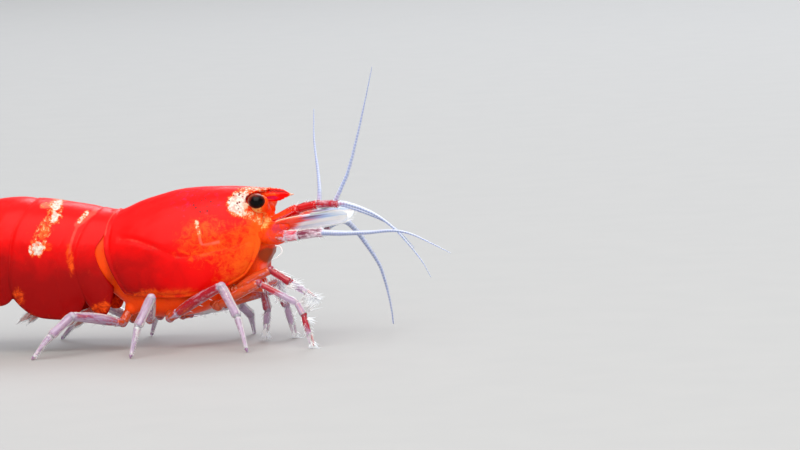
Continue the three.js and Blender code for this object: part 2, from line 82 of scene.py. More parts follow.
def ripple(points, size, seed):
    # Gentle unevenness between -1 and 1: eight sine waves of about the given length, in all directions.
    roll = np.random.default_rng(seed)
    ways = unit(roll.normal(size=(8, 3))) * (2 * np.pi / size) * roll.uniform(0.7, 1.5, (8, 1))
    return np.sin(points @ ways.T + roll.uniform(0, 6.3, 8)).mean(-1) * 1.6


def distances(path):
    # How far along a path each of its points is.
    return np.concatenate([[0], np.cumsum(np.linalg.norm(np.diff(path, axis=0), axis=1))])


def through(points, count):
    # A smooth line through a few points, by cubic curves of the distance along them.
    points = np.array(points, float)
    along = distances(points)
    at = np.linspace(0, along[-1], count)
    return np.stack([curve(*zip(along, column))(at) for column in points.T], -1)


def between(start, end, t):
    # Points at shares t of the way from start to end.
    start, end = np.array(start, float), np.array(end, float)
    return start + (end - start) * t[:, None]


def onSide(points, way):
    # Points given for the left, put on the side asked for.
    return np.array(points, float) * (1, way, 1)


def roundAngles(count):
    # Even angles once round a circle, in one row.
    return (np.arange(count) * 2 * np.pi / count)[None]


def spot(x, z, centre, radii, turn=0.0):
    # 1 at the centre of an ellipse, 0 on its edge and negative outside, in the side view.
    dx, dz = x - centre[0], z - centre[1]
    c, s = math.cos(math.radians(turn)), math.sin(math.radians(turn))
    return 1 - np.hypot((dx * c + dz * s) / radii[0], (dz * c - dx * s) / radii[1])


def strip(x, z, points, radius):
    # 1 on a smooth line, 0 at radius from it and negative outside, in the side view.
    points = np.array(points, float)
    if len(points) > 2:
        points = through(points, 6 * len(points))
    best = np.full(np.shape(x), 1e9)
    for a, b in zip(points[:-1], points[1:]):
        way = b - a
        t = np.clip(((x - a[0]) * way[0] + (z - a[1]) * way[1]) / (way @ way), 0, 1)
        best = np.minimum(best, np.hypot(x - a[0] - t * way[0], z - a[1] - t * way[1]))
    return 1 - best / radius


def raised(points, lift):
    # A grid's points moved by lift along its unit normals, the cross products of its two gradients.
    out = unit(np.cross(np.gradient(points, axis=1), np.gradient(points, axis=0)))
    return points + out * lift[..., None]


def grid(points, around=False, caps=(False, False), **fields):
    # Faces over a grid of points, closed round its columns and capped at its ends where asked.
    rows, columns = points.shape[:2]
    index = np.arange(rows * columns).reshape(rows, columns)
    if around:
        index = np.hstack([index, index[:, :1]])
    uv = np.stack(np.meshgrid(*[np.linspace(0, 1, n) for n in index.shape], indexing="ij"), -1)
    corners = [(slice(None, -1), slice(None, -1)), (slice(None, -1), slice(1, None)),
               (slice(1, None), slice(1, None)), (slice(1, None), slice(None, -1))]
    quads = np.stack([index[c] for c in corners], -1).reshape(-1, 4)
    quadUv = np.stack([uv[c] for c in corners], -2).reshape(-1, 4, 2)
    flat = [points.reshape(-1, 3)]
    values = {k: [np.broadcast_to(f, (rows, columns)).ravel()] for k, f in fields.items()}
    tris, triUv = [np.zeros((0, 3), int)], [np.zeros((0, 3, 2))]
    for wanted, row, turn in ((caps[0], 0, 1), (caps[1], rows - 1, -1)):
        if not wanted:
            continue
        hub = sum(len(f) for f in flat)
        flat.append(points[row].mean(0)[None])
        for k, f in fields.items():
            values[k].append(np.broadcast_to(f, (rows, columns))[row].mean()[None])
        rim = np.stack([index[row, 1:], index[row, :-1]][::turn], -1)
        tris.append(np.insert(rim, 0, hub, axis=1))
        rimUv = np.stack([uv[row, 1:], uv[row, :-1]][::turn], -2)
        triUv.append(np.insert(rimUv, 0, uv[row].mean(0), axis=1))
    part = {"points": np.concatenate(flat), "quads": quads, "quadUv": quadUv,
            "tris": np.concatenate(tris), "triUv": np.concatenate(triUv),
            "fields": {k: np.concatenate(v) for k, v in values.items()}}
    return facingOut(part)


def facingOut(part):
    # Turns a part's faces round if the volume they hold, seen from its middle, is negative.
    p = part["points"] - part["points"].mean(0)
    faces = np.concatenate([part["quads"][:, :3], part["quads"][:, [0, 2, 3]], part["tris"]])
    a, b, c = p[faces[:, 0]], p[faces[:, 1]], p[faces[:, 2]]
    if np.einsum("ij,ij->i", a, np.cross(b, c)).sum() < 0:
        for key in ("quads", "quadUv", "tris", "triUv"):
            part[key] = part[key][:, ::-1]
    return part


def addPiece(name, parts, material, nodes=(), wall=0.0, uvName="surface"):
    # One mesh object from its parts. A wall, in millimetres, is laid on the inside.
    mesh = bpy.data.meshes.new(name)
    first = np.cumsum([0] + [len(p["points"]) for p in parts])
    points = np.concatenate([p["points"] for p in parts]) * mm
    quads = np.concatenate([p["quads"] + n for p, n in zip(parts, first)])
    tris = np.concatenate([p["tris"] + n for p, n in zip(parts, first)])
    mesh.vertices.add(len(points))
    mesh.vertices.foreach_set("co", points.ravel())
    mesh.loops.add(4 * len(quads) + 3 * len(tris))
    mesh.loops.foreach_set("vertex_index", np.concatenate([quads.ravel(), tris.ravel()]))
    mesh.polygons.add(len(quads) + len(tris))
    starts = np.concatenate([4 * np.arange(len(quads)), 4 * len(quads) + 3 * np.arange(len(tris))])
    mesh.polygons.foreach_set("loop_start", starts)
    mesh.polygons.foreach_set("use_smooth", np.ones(len(starts), bool))
    uv = np.concatenate([p[key].reshape(-1, 2) for key in ("quadUv", "triUv") for p in parts])
    mesh.uv_layers.new(name=uvName).data.foreach_set("uv", uv.ravel())
    for key in sorted({k for p in parts for k in p["fields"]}):
        values = [p["fields"].get(key, np.zeros(len(p["points"]))) for p in parts]
        mesh.attributes.new(key, "FLOAT", "POINT").data.foreach_set("value", np.concatenate(values))
    mesh.update(calc_edges=True)
    mesh.validate()
    mesh.materials.append(material)
    piece = bpy.data.objects.new(name, mesh)
    bpy.context.scene.collection.objects.link(piece)
    if wall:
        solid = piece.modifiers.new("wall", "SOLIDIFY")
        solid.thickness = wall * mm
        solid.offset = -1
        solid.use_even_offset = False
    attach(piece, "root")
    if nodes:
        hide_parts(*nodes)


def tube(path, radii, around=16, beside=(0, 1, 0), caps=(True, True), flat=1.0, **fields):
    # A ring of radius r at each place of a path, in the plane across it:
    # place + r (cos a * side + flat * sin a * up). Fields may vary along the path.
    way = unit(np.gradient(path, axis=0))
    beside = np.broadcast_to(np.array(beside, float), way.shape)
    side = unit(beside - (beside * way).sum(-1, keepdims=True) * way)
    up = np.cross(way, side)
    a = roundAngles(around)[0]
    ring = np.cos(a)[None, :, None] * side[:, None] + flat * np.sin(a)[None, :, None] * up[:, None]
    radii = np.broadcast_to(np.asarray(radii, float), len(path))
    points = path[:, None] + radii[:, None, None] * ring
    wide = {k: np.broadcast_to(np.asarray(f, float), len(path))[:, None] for k, f in fields.items()}
    far = distances(path) + 3.7 * path[0].sum()   # each tube meets its own stretch of the pattern
    wide.update(roundX=np.cos(a)[None], roundY=np.sin(a)[None], far=far[:, None])
    return grid(points, around=True, caps=caps, **wide)


def blob(centre, radii, rows=28, around=28):
    # An egg: radii times (sin u cos v, sin u sin v, -cos u).
    u = np.linspace(0.02, np.pi - 0.02, rows)[:, None]
    v = roundAngles(around)
    points = np.stack([np.sin(u) * np.cos(v), np.sin(u) * np.sin(v), -np.cos(u) + 0 * v], -1)
    return grid(points * radii + np.array(centre), around=True, caps=(True, True))


def placed(points, at, pitch=0, spread=0, roll=0, mirror=1):
    # Rolls, pitches and spreads points about the origin, moves them, and mirrors them to the other side.
    r, p, w = (math.radians(angle) for angle in (roll, -pitch, -spread))
    rollBy = np.array([[1, 0, 0], [0, math.cos(r), -math.sin(r)], [0, math.sin(r), math.cos(r)]])
    pitchBy = np.array([[math.cos(p), 0, math.sin(p)], [0, 1, 0], [-math.sin(p), 0, math.cos(p)]])
    spreadBy = np.array([[math.cos(w), -math.sin(w), 0], [math.sin(w), math.cos(w), 0], [0, 0, 1]])
    moved = points @ (spreadBy @ pitchBy @ rollBy).T + np.array(at)
    return moved * (1, mirror, 1)


def leaf(long, half, thick, ribs, crown, at, way, toward=-1, rows=80, around=72, endRound=0.12,
         rootSwell=0.0, **fields):
    # A closed leaf: across it y = half width * cos a, thick through it = thickness * sin a, thinner toward
    # the margin, with ribs as small waves and a crown that domes it. Fields are functions of (t, across).
    t = 0.5 - 0.5 * np.cos(np.linspace(0, np.pi, rows))[:, None]
    a = roundAngles(around)
    rounding = np.clip(1 - np.clip((t - 1 + endRound) / endRound, 0, 1) ** 2, 0.0004, 1) ** 0.5
    rounding = rounding * np.clip(1 - np.clip((0.03 - t) / 0.03, 0, 1) ** 2, 0.0004, 1) ** 0.5
    q = np.cos(a) + 0 * t
    y = half(t) * rounding * q
    body = thick * (0.25 + 0.75 * (1 - q ** 2)) * rounding ** 0.5 * (1 + rootSwell * smooth(0.3, 0.0, t))
    waves = sum(h * bell(q, c * (1 - 0.3 * t), w) for c, w, h in ribs) * smooth(1.0, 0.75, t)
    z = np.sin(a) * body * 0.5 + waves * smooth(0, 0.3, np.sin(a)) * rounding + crown * (1 - q ** 2)
    points = np.stack([toward * long * t + 0 * q, y, z], -1)
    values = {key: f(t, q) + 0 * q for key, f in fields.items()}
    if "streak" in values:   # long thin coordinates for lines that run down the leaf
        values.update(side=7 * q, down=0.9 * t + 0 * q)
    part = grid(points, around=True, caps=(True, True), **values)
    part["points"] = placed(part["points"], **at, mirror=way)
    return facingOut(part)


def hairs(roots, aims, lengths, thick, rootUv, sag):
    # Three-sided hairs: root + aim * length * t + sag * length * t^2, as thick as 1 - t^1.5.
    count = len(roots)
    t = np.linspace(0, 1, 5)
    aims = unit(aims)
    spine = aims[:, None] * t[:, None] + sag[:, None] * t[:, None] ** 2
    spine = roots[:, None] + lengths[:, None, None] * spine
    spine[..., 2] = np.maximum(spine[..., 2], 0.02)   # what would reach the floor lies on it
    side = unit(np.cross(aims, unit(np.roll(aims, 1, -1) + [0.31, 0.17, 0.05])))
    up = np.cross(aims, side)
    a = roundAngles(3)[0]
    ring = np.cos(a)[:, None] * side[:, None] + np.sin(a)[:, None] * up[:, None]
    thickness = thick[:, None, None, None] * (1 - t[:4] ** 1.5)[:, None, None]
    walls = (spine[:, :4, None] + thickness * ring[:, None]).reshape(count, 12, 3)
    points = np.concatenate([walls, spine[:, 4:]], 1)
    start = 13 * np.arange(count)[:, None, None]
    k, j = np.meshgrid(np.arange(3), np.arange(3), indexing="ij")
    after = (j + 1) % 3
    quad = np.stack([3 * k + j, 3 * k + after, 3 * k + 3 + after, 3 * k + 3 + j], -1).reshape(-1, 4)
    tri = np.array([[9, 10, 12], [10, 11, 12], [11, 9, 12], [2, 1, 0]])
    patch = np.concatenate([np.stack([np.tile([0, 0.5, 1], 4), np.repeat(t[:4], 3)], -1), [[0.5, 1]]])
    uv = rootUv[:, None] + patch * 0.003   # each hair has a small patch of the map
    tip = np.concatenate([np.repeat(t[:4], 3), [1]])
    return facingOut({"points": points.reshape(-1, 3), "quads": (quad[None] + start).reshape(-1, 4),
                      "quadUv": uv[:, quad].reshape(-1, 4, 2), "tris": (tri[None] + start).reshape(-1, 3),
                      "triUv": uv[:, tri].reshape(-1, 3, 2), "fields": {"tip": np.tile(tip, count)}})


hairRows = {"bristles": [], "tailFringe": []}   # hairs are kept by the piece they go to, and made last


def addHairs(piece, roots, aims, long, thick, uv, sag=(0, 0, 0)):
    count = len(roots)
    hairRows[piece].append((roots, np.broadcast_to(aims, (count, 3)), np.broadcast_to(long, count),
                            np.broadcast_to(thick, count), np.broadcast_to(uv, (count, 2)),
                            np.broadcast_to(sag, (count, 3))))


def addFringe(piece, roots, aims, at, way, long, thick, uv):
    # Hairs on the edge of a leaf, moved to its place with it.
    base = placed(roots, **at, mirror=way)
    addHairs(piece, base, placed(roots + unit(aims), **at, mirror=way) - base, long, thick, uv)


def brush(start, end, count, long, spreadOut, thick, patch, along=(0, 1), lean=0.6):
    # Hairs set round a length of limb, leaning toward its far end.
    t = dice.uniform(*along, count)
    way = unit(np.array(end, float) - np.array(start, float))
    off = dice.normal(size=(count, 3))
    off = unit(off - (off @ way)[:, None] * way)
    roots = between(start, end, t) + off * spreadOut * 0.6
    aims = off * (1 - lean) + way * lean + 0.12 * dice.normal(size=(count, 3))
    uv = np.stack([(patch + t) / 60, np.linspace(0.05, 0.95, count)], -1)
    addHairs("bristles", roots, aims, long * dice.uniform(0.55, 1.1, count), thick, uv)


# ways of making materials

def rgb(code):
    # A colour from its sRGB hex code, turned to linear.
    channels = np.array([int(code[i:i + 2], 16) for i in (1, 3, 5)]) / 255
    linear = np.where(channels <= 0.04045, channels / 12.92, ((channels + 0.055) / 1.055) ** 2.4)
    return (*linear.tolist(), 1.0)


def setInputs(tree, node, inputs):
    # Sets a node's inputs: another node's output is linked, anything else is put in as a constant.
    for key, value in inputs.items():
        if isinstance(value, bpy.types.NodeSocket):
            tree.links.new(value, node.inputs[key])
        else:
            node.inputs[key].default_value = value


def addNode(tree, kind, inputs=None, out=0, **settings):
    # Adds a node with its settings and links, and gives one of its outputs.
    node = tree.nodes.new("ShaderNode" + kind)
    for key, value in settings.items():
        setattr(node, key, value)
    setInputs(tree, node, inputs or {})
    return node.outputs[out]


def newMaterial(name, fields=()):
    # A material with its shader, Object coordinates in millimetres, and its surface's fields by name.
    material = bpy.data.materials.new(name)
    material.use_nodes = True
    tree = material.node_tree
    place = addNode(tree, "TexCoord", out="Object")
    place = addNode(tree, "Mapping", {"Vector": place, "Scale": (1000, 1000, 1000)})
    field = {key: addNode(tree, "Attribute", out="Fac", attribute_name=key) for key in fields}
    return material, tree, tree.nodes["Principled BSDF"], place, field


def makeShell(name, tones):
    # Chitin shell, moulted smooth and wet: colour from just under the surface, a soft gloss over it,
    # fine pits, and chalky marks with crumbled edges.
    material, tree, shader, place, field = newMaterial(name, ("low", "orange", "rose", "cream", "line",
                                                              "speck"))
    # clouds about a millimetre across, veins a third of that, crumbs and grain near the least that shows
    noise = {key: addNode(tree, "TexNoise", {"Vector": place, "Scale": 1 / size, "Detail": detail,
                                             "Roughness": rough, "Distortion": bent})
             for key, size, detail, rough, bent in (("cloud", 0.9, 5, 0.6, 0.4), ("vein", 0.3, 6, 0.75, 0.7),
                                                    ("crumb", 0.15, 4, 0.7, 0.0),
                                                    ("grain", 0.13, 3, 0.5, 0.0))}
    for key, size in (("dots", 0.19), ("pits", 0.07)):
        noise[key] = addNode(tree, "TexVoronoi", {"Vector": place, "Scale": 1 / size}, out="Distance")
    # within the chalk: white and cream grains, rosy ones between them, honey where the shell is orange
    chalk = rgb(tones["cream"])
    for amount, low, high, tone in ((noise["grain"], 0.44, 0.6, "creamShade"),
                                    (noise["vein"], 0.55, 0.7, "line"),
                                    (field["orange"], 0.1, 1.1, "honey")):
        amount = addNode(tree, "MapRange", {"Value": amount, 1: low, 2: high, 3: 0.0, 4: 0.75})
        chalk = addNode(tree, "Mix", {0: amount, 6: chalk, 7: rgb(tones[tone])}, out=2, data_type="RGBA")
    # each layer shows as much as its field plus a noise, which goes from one value to another, eased in
    colour = rgb(tones["bright"])
    for tone, key, by, noiseLow, noiseHigh, least, most, start, full in (
            # deep, over the low field: on the shells this is partly painted shade, darker low on the body
            ("deep", "low", "cloud", 0.28, 0.72, -0.15, 0.17, 0.0, 1.0),
            ("orange", "orange", "vein", 0.32, 0.68, -0.5, 0.4, 0.2, 1.15),
            # rose: partly painted light, a sheen over the carapace's top and a highlight at the rostrum's
            # root; on the skin it is the skin's own pink
            ("rose", "rose", "vein", 0.36, 0.64, -0.7, 0.0, 0.0, 0.4),
            ("line", "line", "cloud", 0.28, 0.72, -0.4, 0.0, 0.0, 1.0),
            ("rim", "cream", "crumb", 0.28, 0.72, -0.6, 0.6, -0.35, 0.02),
            ("cream", "cream", "crumb", 0.28, 0.72, -0.6, 0.6, -0.04, 0.26),
            ("speck", "speck", "dots", 0.16, 0.36, 0.0, -1.0, 0.0, 1.0)):
        wave = addNode(tree, "MapRange", {"Value": noise[by], 1: noiseLow, 2: noiseHigh, 3: least, 4: most})
        amount = addNode(tree, "Math", {0: wave, 1: field[key]}, operation="ADD")
        amount = addNode(tree, "MapRange", {"Value": amount, 1: start, 2: full},
                         interpolation_type="SMOOTHSTEP")
        over = chalk if tone == "cream" else rgb(tones[tone])
        colour = addNode(tree, "Mix", {0: amount, 6: colour, 7: over}, out=2, data_type="RGBA")
    height = addNode(tree, "Math", {0: noise["pits"], 1: 0.4, 2: noise["grain"]}, operation="MULTIPLY_ADD")
    bump = addNode(tree, "Bump", {"Height": height, "Strength": 0.2, "Distance": 0.012 * mm})
    rough = addNode(tree, "MapRange", {"Value": noise["grain"], 3: 0.3, 4: 0.46})
    # the gloss is faint, as on a shell seen wet
    setInputs(tree, shader, {
        "Base Color": colour, "Roughness": rough, "Normal": bump, "IOR": 1.33, "Specular IOR Level": 0.2,
        "Coat Weight": 0.1, "Coat Roughness": 0.08, "Coat IOR": 1.33, "Subsurface Weight": 0.25,
        "Subsurface Radius": (1.0, 0.16, 0.08), "Subsurface Scale": 0.35 * mm})
    return material


def makeLimb(name, tones, clear=0.4):
    # Thin chitin over clear tissue: milky, with flesh showing through in streaks along the limb, and white
    # painted along its upper and lower sides, a painted highlight for the bright edges of the clear shell.
    material, tree, shader, place, field = newMaterial(name, ("red", "stain", "flesh", "pale", "roundX",
                                                              "roundY", "far"))
    along = addNode(tree, "Math", {0: field["far"], 1: 0.55}, operation="MULTIPLY")
    wrapped = addNode(tree, "CombineXYZ", {0: field["roundX"], 1: field["roundY"], 2: along})
    streaks = addNode(tree, "TexNoise", {"Vector": wrapped, "Scale": 1.7, "Detail": 5, "Distortion": 0.4})
    grain = addNode(tree, "TexNoise", {"Vector": place, "Scale": 1 / 0.12, "Detail": 3})
    coarse = addNode(tree, "MapRange", {"Value": streaks, 1: 0.3, 2: 0.7, 3: -0.32, 4: 0.32})
    fine = addNode(tree, "MapRange", {"Value": grain, 1: 0.3, 2: 0.7, 3: -0.16, 4: 0.16})
    vary = addNode(tree, "Math", {0: coarse, 1: fine}, operation="ADD")
    # white along the upper and lower sides: a painted highlight for the clear shell's bright edges
    edge = addNode(tree, "Math", {0: field["roundY"]}, operation="ABSOLUTE")
    edge = addNode(tree, "MapRange", {"Value": edge, 1: 0.72, 2: 1.0, 3: 0.0, 4: 0.75})
    tinted = addNode(tree, "MapRange", {"Value": streaks, 1: 0.36, 2: 0.66, 3: 0.15, 4: 1.0})
    colour = addNode(tree, "Mix", {0: tinted, 6: rgb(tones["pale"]), 7: rgb(tones["tint"])}, out=2,
                     data_type="RGBA")
    for key, tone in (("stain", "stain"), ("red", "red"), ("flesh", "flesh"), ("pale", "white")):
        amount = addNode(tree, "Math", {0: vary, 1: field[key]}, operation="ADD")
        if key == "pale":
            amount = addNode(tree, "Math", {0: amount, 1: edge}, operation="ADD")
        amount = addNode(tree, "MapRange", {"Value": amount, 1: 0.25, 2: 0.8},
                         interpolation_type="SMOOTHSTEP")
        colour = addNode(tree, "Mix", {0: amount, 6: colour, 7: rgb(tones[tone])}, out=2, data_type="RGBA")
    bump = addNode(tree, "Bump", {"Height": streaks, "Strength": 0.2, "Distance": 0.012 * mm})
    setInputs(tree, shader, {
        "Base Color": colour, "Normal": bump, "IOR": 1.38, "Roughness": 0.15, "Coat Weight": 0.6,
        "Coat Roughness": 0.05, "Coat IOR": 1.4, "Subsurface Weight": 0.5,
        "Subsurface Radius": (0.8, 0.5, 0.6), "Subsurface Scale": 0.13 * mm, "Transmission Weight": clear})
    return material


# camera, floor and light

view = {"distance": 220, "lens": 230, "turn": 10, "tilt": 5, "roll": 2.5, "right": 12.26, "up": 4.76}
turn, tilt, roll = (math.radians(view[key]) for key in ("turn", "tilt", "roll"))
rightward = np.array([math.cos(turn), math.sin(turn), 0])
upward = np.array([-math.sin(turn) * math.sin(tilt), math.cos(turn) * math.sin(tilt), math.cos(tilt)])
forward = np.cross(upward, rightward)
camera = bpy.data.objects.new("camera", bpy.data.cameras.new("camera"))
bpy.context.scene.collection.objects.link(camera)
camera.data.sensor_width = 36
camera.data.lens = view["lens"]
camera.data.clip_start = 0.01
cameraAxes = [rightward * math.cos(roll) - upward * math.sin(roll),
              rightward * math.sin(roll) + upward * math.cos(roll), -forward]
cameraAt = (view["right"] * rightward + view["up"] * upward - view["distance"] * forward) * mm
camera.matrix_world = Matrix.LocRotScale(Vector(cameraAt), Matrix(np.array(cameraAxes).T.tolist()), None)
bpy.context.scene.camera = camera
bpy.context.scene.view_settings.view_transform = "Standard"

studio = {"floor": 6.0, "sky": "#E8ECF2", "skyStrength": 0.3, "aim": (0.0, 0.0, 0.004)}   # in metres
lamps = {"over": {"at": (0.05, -0.1, 1.1), "size": 1.8, "power": 10.0, "tone": "#FFFFFF"},
         "key": {"at": (0.05, -0.46, 0.42), "size": 0.7, "power": 5.2, "tone": "#FFFBF4"},
         "rim": {"at": (0.05, 0.35, 0.3), "size": 0.25, "power": 1.1, "tone": "#F4F8FF"}}


def makePaper():
    # Plain pale studio paper, with a faint tooth.
    material, tree, shader, place, field = newMaterial("mattePaper")
    tooth = addNode(tree, "TexNoise", {"Vector": place, "Scale": 1 / 3, "Detail": 6})
    tone = addNode(tree, "Mix", {0: tooth, 6: rgb("#A9A9A9"), 7: rgb("#AEAEAD")}, out=2, data_type="RGBA")
    setInputs(tree, shader, {"Base Color": tone, "Roughness": 0.8})
    return material


floorMesh = bpy.data.meshes.new("floor")
floorMesh.from_pydata([(x * studio["floor"], y * studio["floor"], 0)
                       for x, y in ((-1, -1), (1, -1), (1, 1), (-1, 1))], [], [(0, 1, 2, 3)])
floor = bpy.data.objects.new("floor", floorMesh)
bpy.context.scene.collection.objects.link(floor)
floorMesh.materials.append(makePaper())

world = bpy.data.worlds.new("studio")
world.use_nodes = True
sky = world.node_tree.nodes["Background"]
setInputs(world.node_tree, sky, {"Color": rgb(studio["sky"]), "Strength": studio["skyStrength"]})
bpy.context.scene.world = world

for name, lamp in lamps.items():
    light = bpy.data.lights.new(name, "AREA")
    light.size = lamp["size"]
    light.energy = lamp["power"]
    light.color = rgb(lamp["tone"])[:3]
    lampObject = bpy.data.objects.new(name, light)
    lampObject.location = lamp["at"]
    toSubject = Vector(studio["aim"]) - Vector(lamp["at"])
    lampObject.rotation_euler = toSubject.to_track_quat("-Z", "Y").to_euler()
    bpy.context.scene.collection.objects.link(lampObject)
print("stage set")


# the build of the body, shared by its shells and the skin inside them

carapaceTop = curve((-0.4, 5.98), (0.5, 6.04), (1.4, 6.4), (3, 6.79), (4.7, 6.88), (6, 6.77), (7, 6.7))
carapaceEdge = curve((-0.4, 2.9), (0.9, 2.42), (3, 2.26), (4.5, 2.48), (5.6, 2.95), (6.4, 3.6), (7, 4.1))
carapaceHalfWidth = curve((-0.4, 1.72), (1, 1.88), (2.6, 1.98), (4.2, 1.85), (5.6, 1.48), (6.7, 1.06))
carapaceWaist = curve((-0.4, 4.2), (3, 4.1), (5, 4.4), (6.7, 4.95))
carapaceSweep, lowerSweep = 158, 68   # degrees from the back to the lower edge, and below the waist


def carapaceSection(x, s):
    # Half width and height at x, for s from 0 on the back to 1 on the lower edge: two quarter arcs that
    # meet at the waist, each a power of cosine across and of sine upwards.
    angle = np.radians(carapaceSweep * s)
    upper = angle < np.pi / 2
    a = np.abs(np.pi / 2 - angle)
    c, n = np.clip(np.cos(a), 0, 1), np.clip(np.sin(a), 0, 1)
    top, waist, edge = carapaceTop(x), carapaceWaist(x), carapaceEdge(x)
    y = carapaceHalfWidth(x) * np.where(upper, c ** 0.92, c ** 0.32)
    z = np.where(upper, waist + (top - waist) * n ** 0.96,
                 waist - (waist - edge) * n / math.sin(math.radians(lowerSweep)))
    return y, z


# the abdomen's back line slopes by backSlope degrees at each distance along it, and its section follows
somiteEnds = np.cumsum([0, 1.35, 2.75, 2.75, 1.95, 1.85, 2.7])
backSlope = curve((0, 0), (1.6, -5), (3.8, -2), (6.6, 14), (8.6, 25), (10.6, 31), (13.6, 31))
backTop = curve((0, 2.06), (0.6, 2.17), (1.4, 2.25), (2.4, 2.34), (3.4, 2.43), (4.3, 2.44), (5.2, 2.38),
                (7, 2.08), (9, 1.6), (11, 1.15), (13.4, 0.78))
backHalfWidth = curve((0, 1.6), (2, 1.78), (4, 1.85), (6, 1.7), (8, 1.42), (10, 1.15), (13.4, 0.72))
bellyDrop = curve((0, 1.5), (3, 1.5), (6, 1.3), (8, 1.1), (10, 0.85), (13.4, 0.6))
backStep = 0.05
backHeight = 3.95
backPlaces = np.arange(0, 13.7, backStep)
backAngles = np.radians(backSlope(backPlaces))
backX = -np.concatenate([[0], np.cumsum(np.cos(backAngles[:-1]))]) * backStep
backZ = backHeight - np.concatenate([[0], np.cumsum(np.sin(backAngles[:-1]))]) * backStep


def byBack(s, y, z):
    # A point at s along the bent line of the abdomen, y to the left and z square to the line.
    s, y, z = np.broadcast_arrays(np.asarray(s, float), y, z)
    a = np.interp(s, backPlaces, backAngles, left=0)
    x0 = np.interp(s, backPlaces, backX) - np.minimum(s, 0)
    z0 = np.interp(s, backPlaces, backZ)
    return np.stack([x0 - z * np.sin(a), y, z0 + z * np.cos(a)], -1)


# colours of the shell, by where it is in the side view

shellMarks = {   # in mm: spots are (centre, radii, turn, strength), strips (line, radius, strength)
    "creamSpots": [((5.68, 6.2), (0.42, 0.46), 0, 0.6), ((5.42, 6.26), (0.18, 0.26), 0, 0.05),
                   ((5.88, 5.86), (0.22, 0.22), 0, 0.25), ((6.0, 6.2), (0.2, 0.36), 0, 0.15),
                   ((-3.0, 4.56), (0.34, 0.26), 25, 0.3), ((-3.24, 4.5), (0.14, 0.2), 0, 0.3),
                   ((-2.33, 6.3), (0.2, 0.2), 0, 0.3), ((-2.28, 5.85), (0.16, 0.22), 0, 0.5),
                   ((-2.8, 6.32), (0.18, 0.1), 0, -0.3), ((3.98, 5.46), (0.1, 0.1), 0, 0.3)],
    "creamStrips": [([(5.75, 6.62), (6.2, 6.68), (6.6, 6.7), (7.3, 6.68)], 0.12, -0.05),
                    ([(6.1, 5.68), (6.36, 5.6), (6.56, 5.4)], 0.14, -0.1),
                    ([(3.97, 5.5), (4.04, 5.2), (4.12, 4.9)], 0.07, -0.1),
                    ([(-2.36, 6.36), (-2.3, 5.85)], 0.24, -0.1),
                    ([(-2.3, 5.85), (-2.66, 5.37), (-2.9, 4.95), (-3.05, 4.5)], 0.25, -0.27),
                    ([(-0.98, 5.95), (-1.22, 5.62)], 0.09, 0.1)],
    "groove": ([(0.6, 4.86), (1.2, 4.8), (1.85, 4.58), (2.49, 4.3), (3.13, 4.02), (4.0, 4.08), (5.09, 4.3),
                (6.14, 4.51)], 0.08, 0.4),
    "lines": [([(0.24, 6.0), (0.02, 5.55), (-0.06, 5.03)], 0.08, 0.55),
              ([(-1.22, 5.62), (-1.5, 4.86), (-1.62, 4.3)], 0.09, 0.5),
              ([(3.98, 5.5), (4.1, 4.9), (4.2, 4.55), (4.5, 4.55), (4.9, 4.62)], 0.09, 0.7),
              ([(7.0, 6.78), (7.4, 6.8), (7.8, 6.72), (8.06, 6.5)], 0.05, 0.6),
              ([(7.05, 6.27), (7.4, 6.24), (7.75, 6.32)], 0.06, 0.6),
              ([(-2.4, 6.3), (-2.9, 6.32)], 0.16, 0.8), ([(-0.7, 5.95), (-1.3, 5.5)], 0.2, 0.6)],
    "oranges": [((6.3, 4.6), (1.3, 1.5), 0, 1.2), ((5.7, 3.5), (1.5, 1.4), 30, 1.0),
                ((6.5, 5.4), (0.7, 0.6), 0, 1.2), ((6.3, 6.0), (0.5, 0.6), 0, 0.9),
                ((4.3, 4.7), (1.7, 1.5), 0, 0.8),
                ((-0.45, 1.9), (0.8, 0.4), 20, 0.9), ((2.6, 2.35), (3.0, 0.5), 0, 0.9),
                ((-1.6, 4.1), (0.24, 0.95), 4, 0.8), ((-2.5, 4.62), (0.28, 0.24), 0, 1.2),
                ((-3.95, 2.5), (0.4, 0.6), 0, 0.8), ((-2.68, 5.3), (0.3, 0.55), -20, 1.2)],
    "specks": [((5.62, 6.25), (0.5, 0.55)), ((4.2, 6.1), (0.7, 0.42))],
    "farShift": (0.13, -0.09)}   # the left side's marks stand a little off the right side's


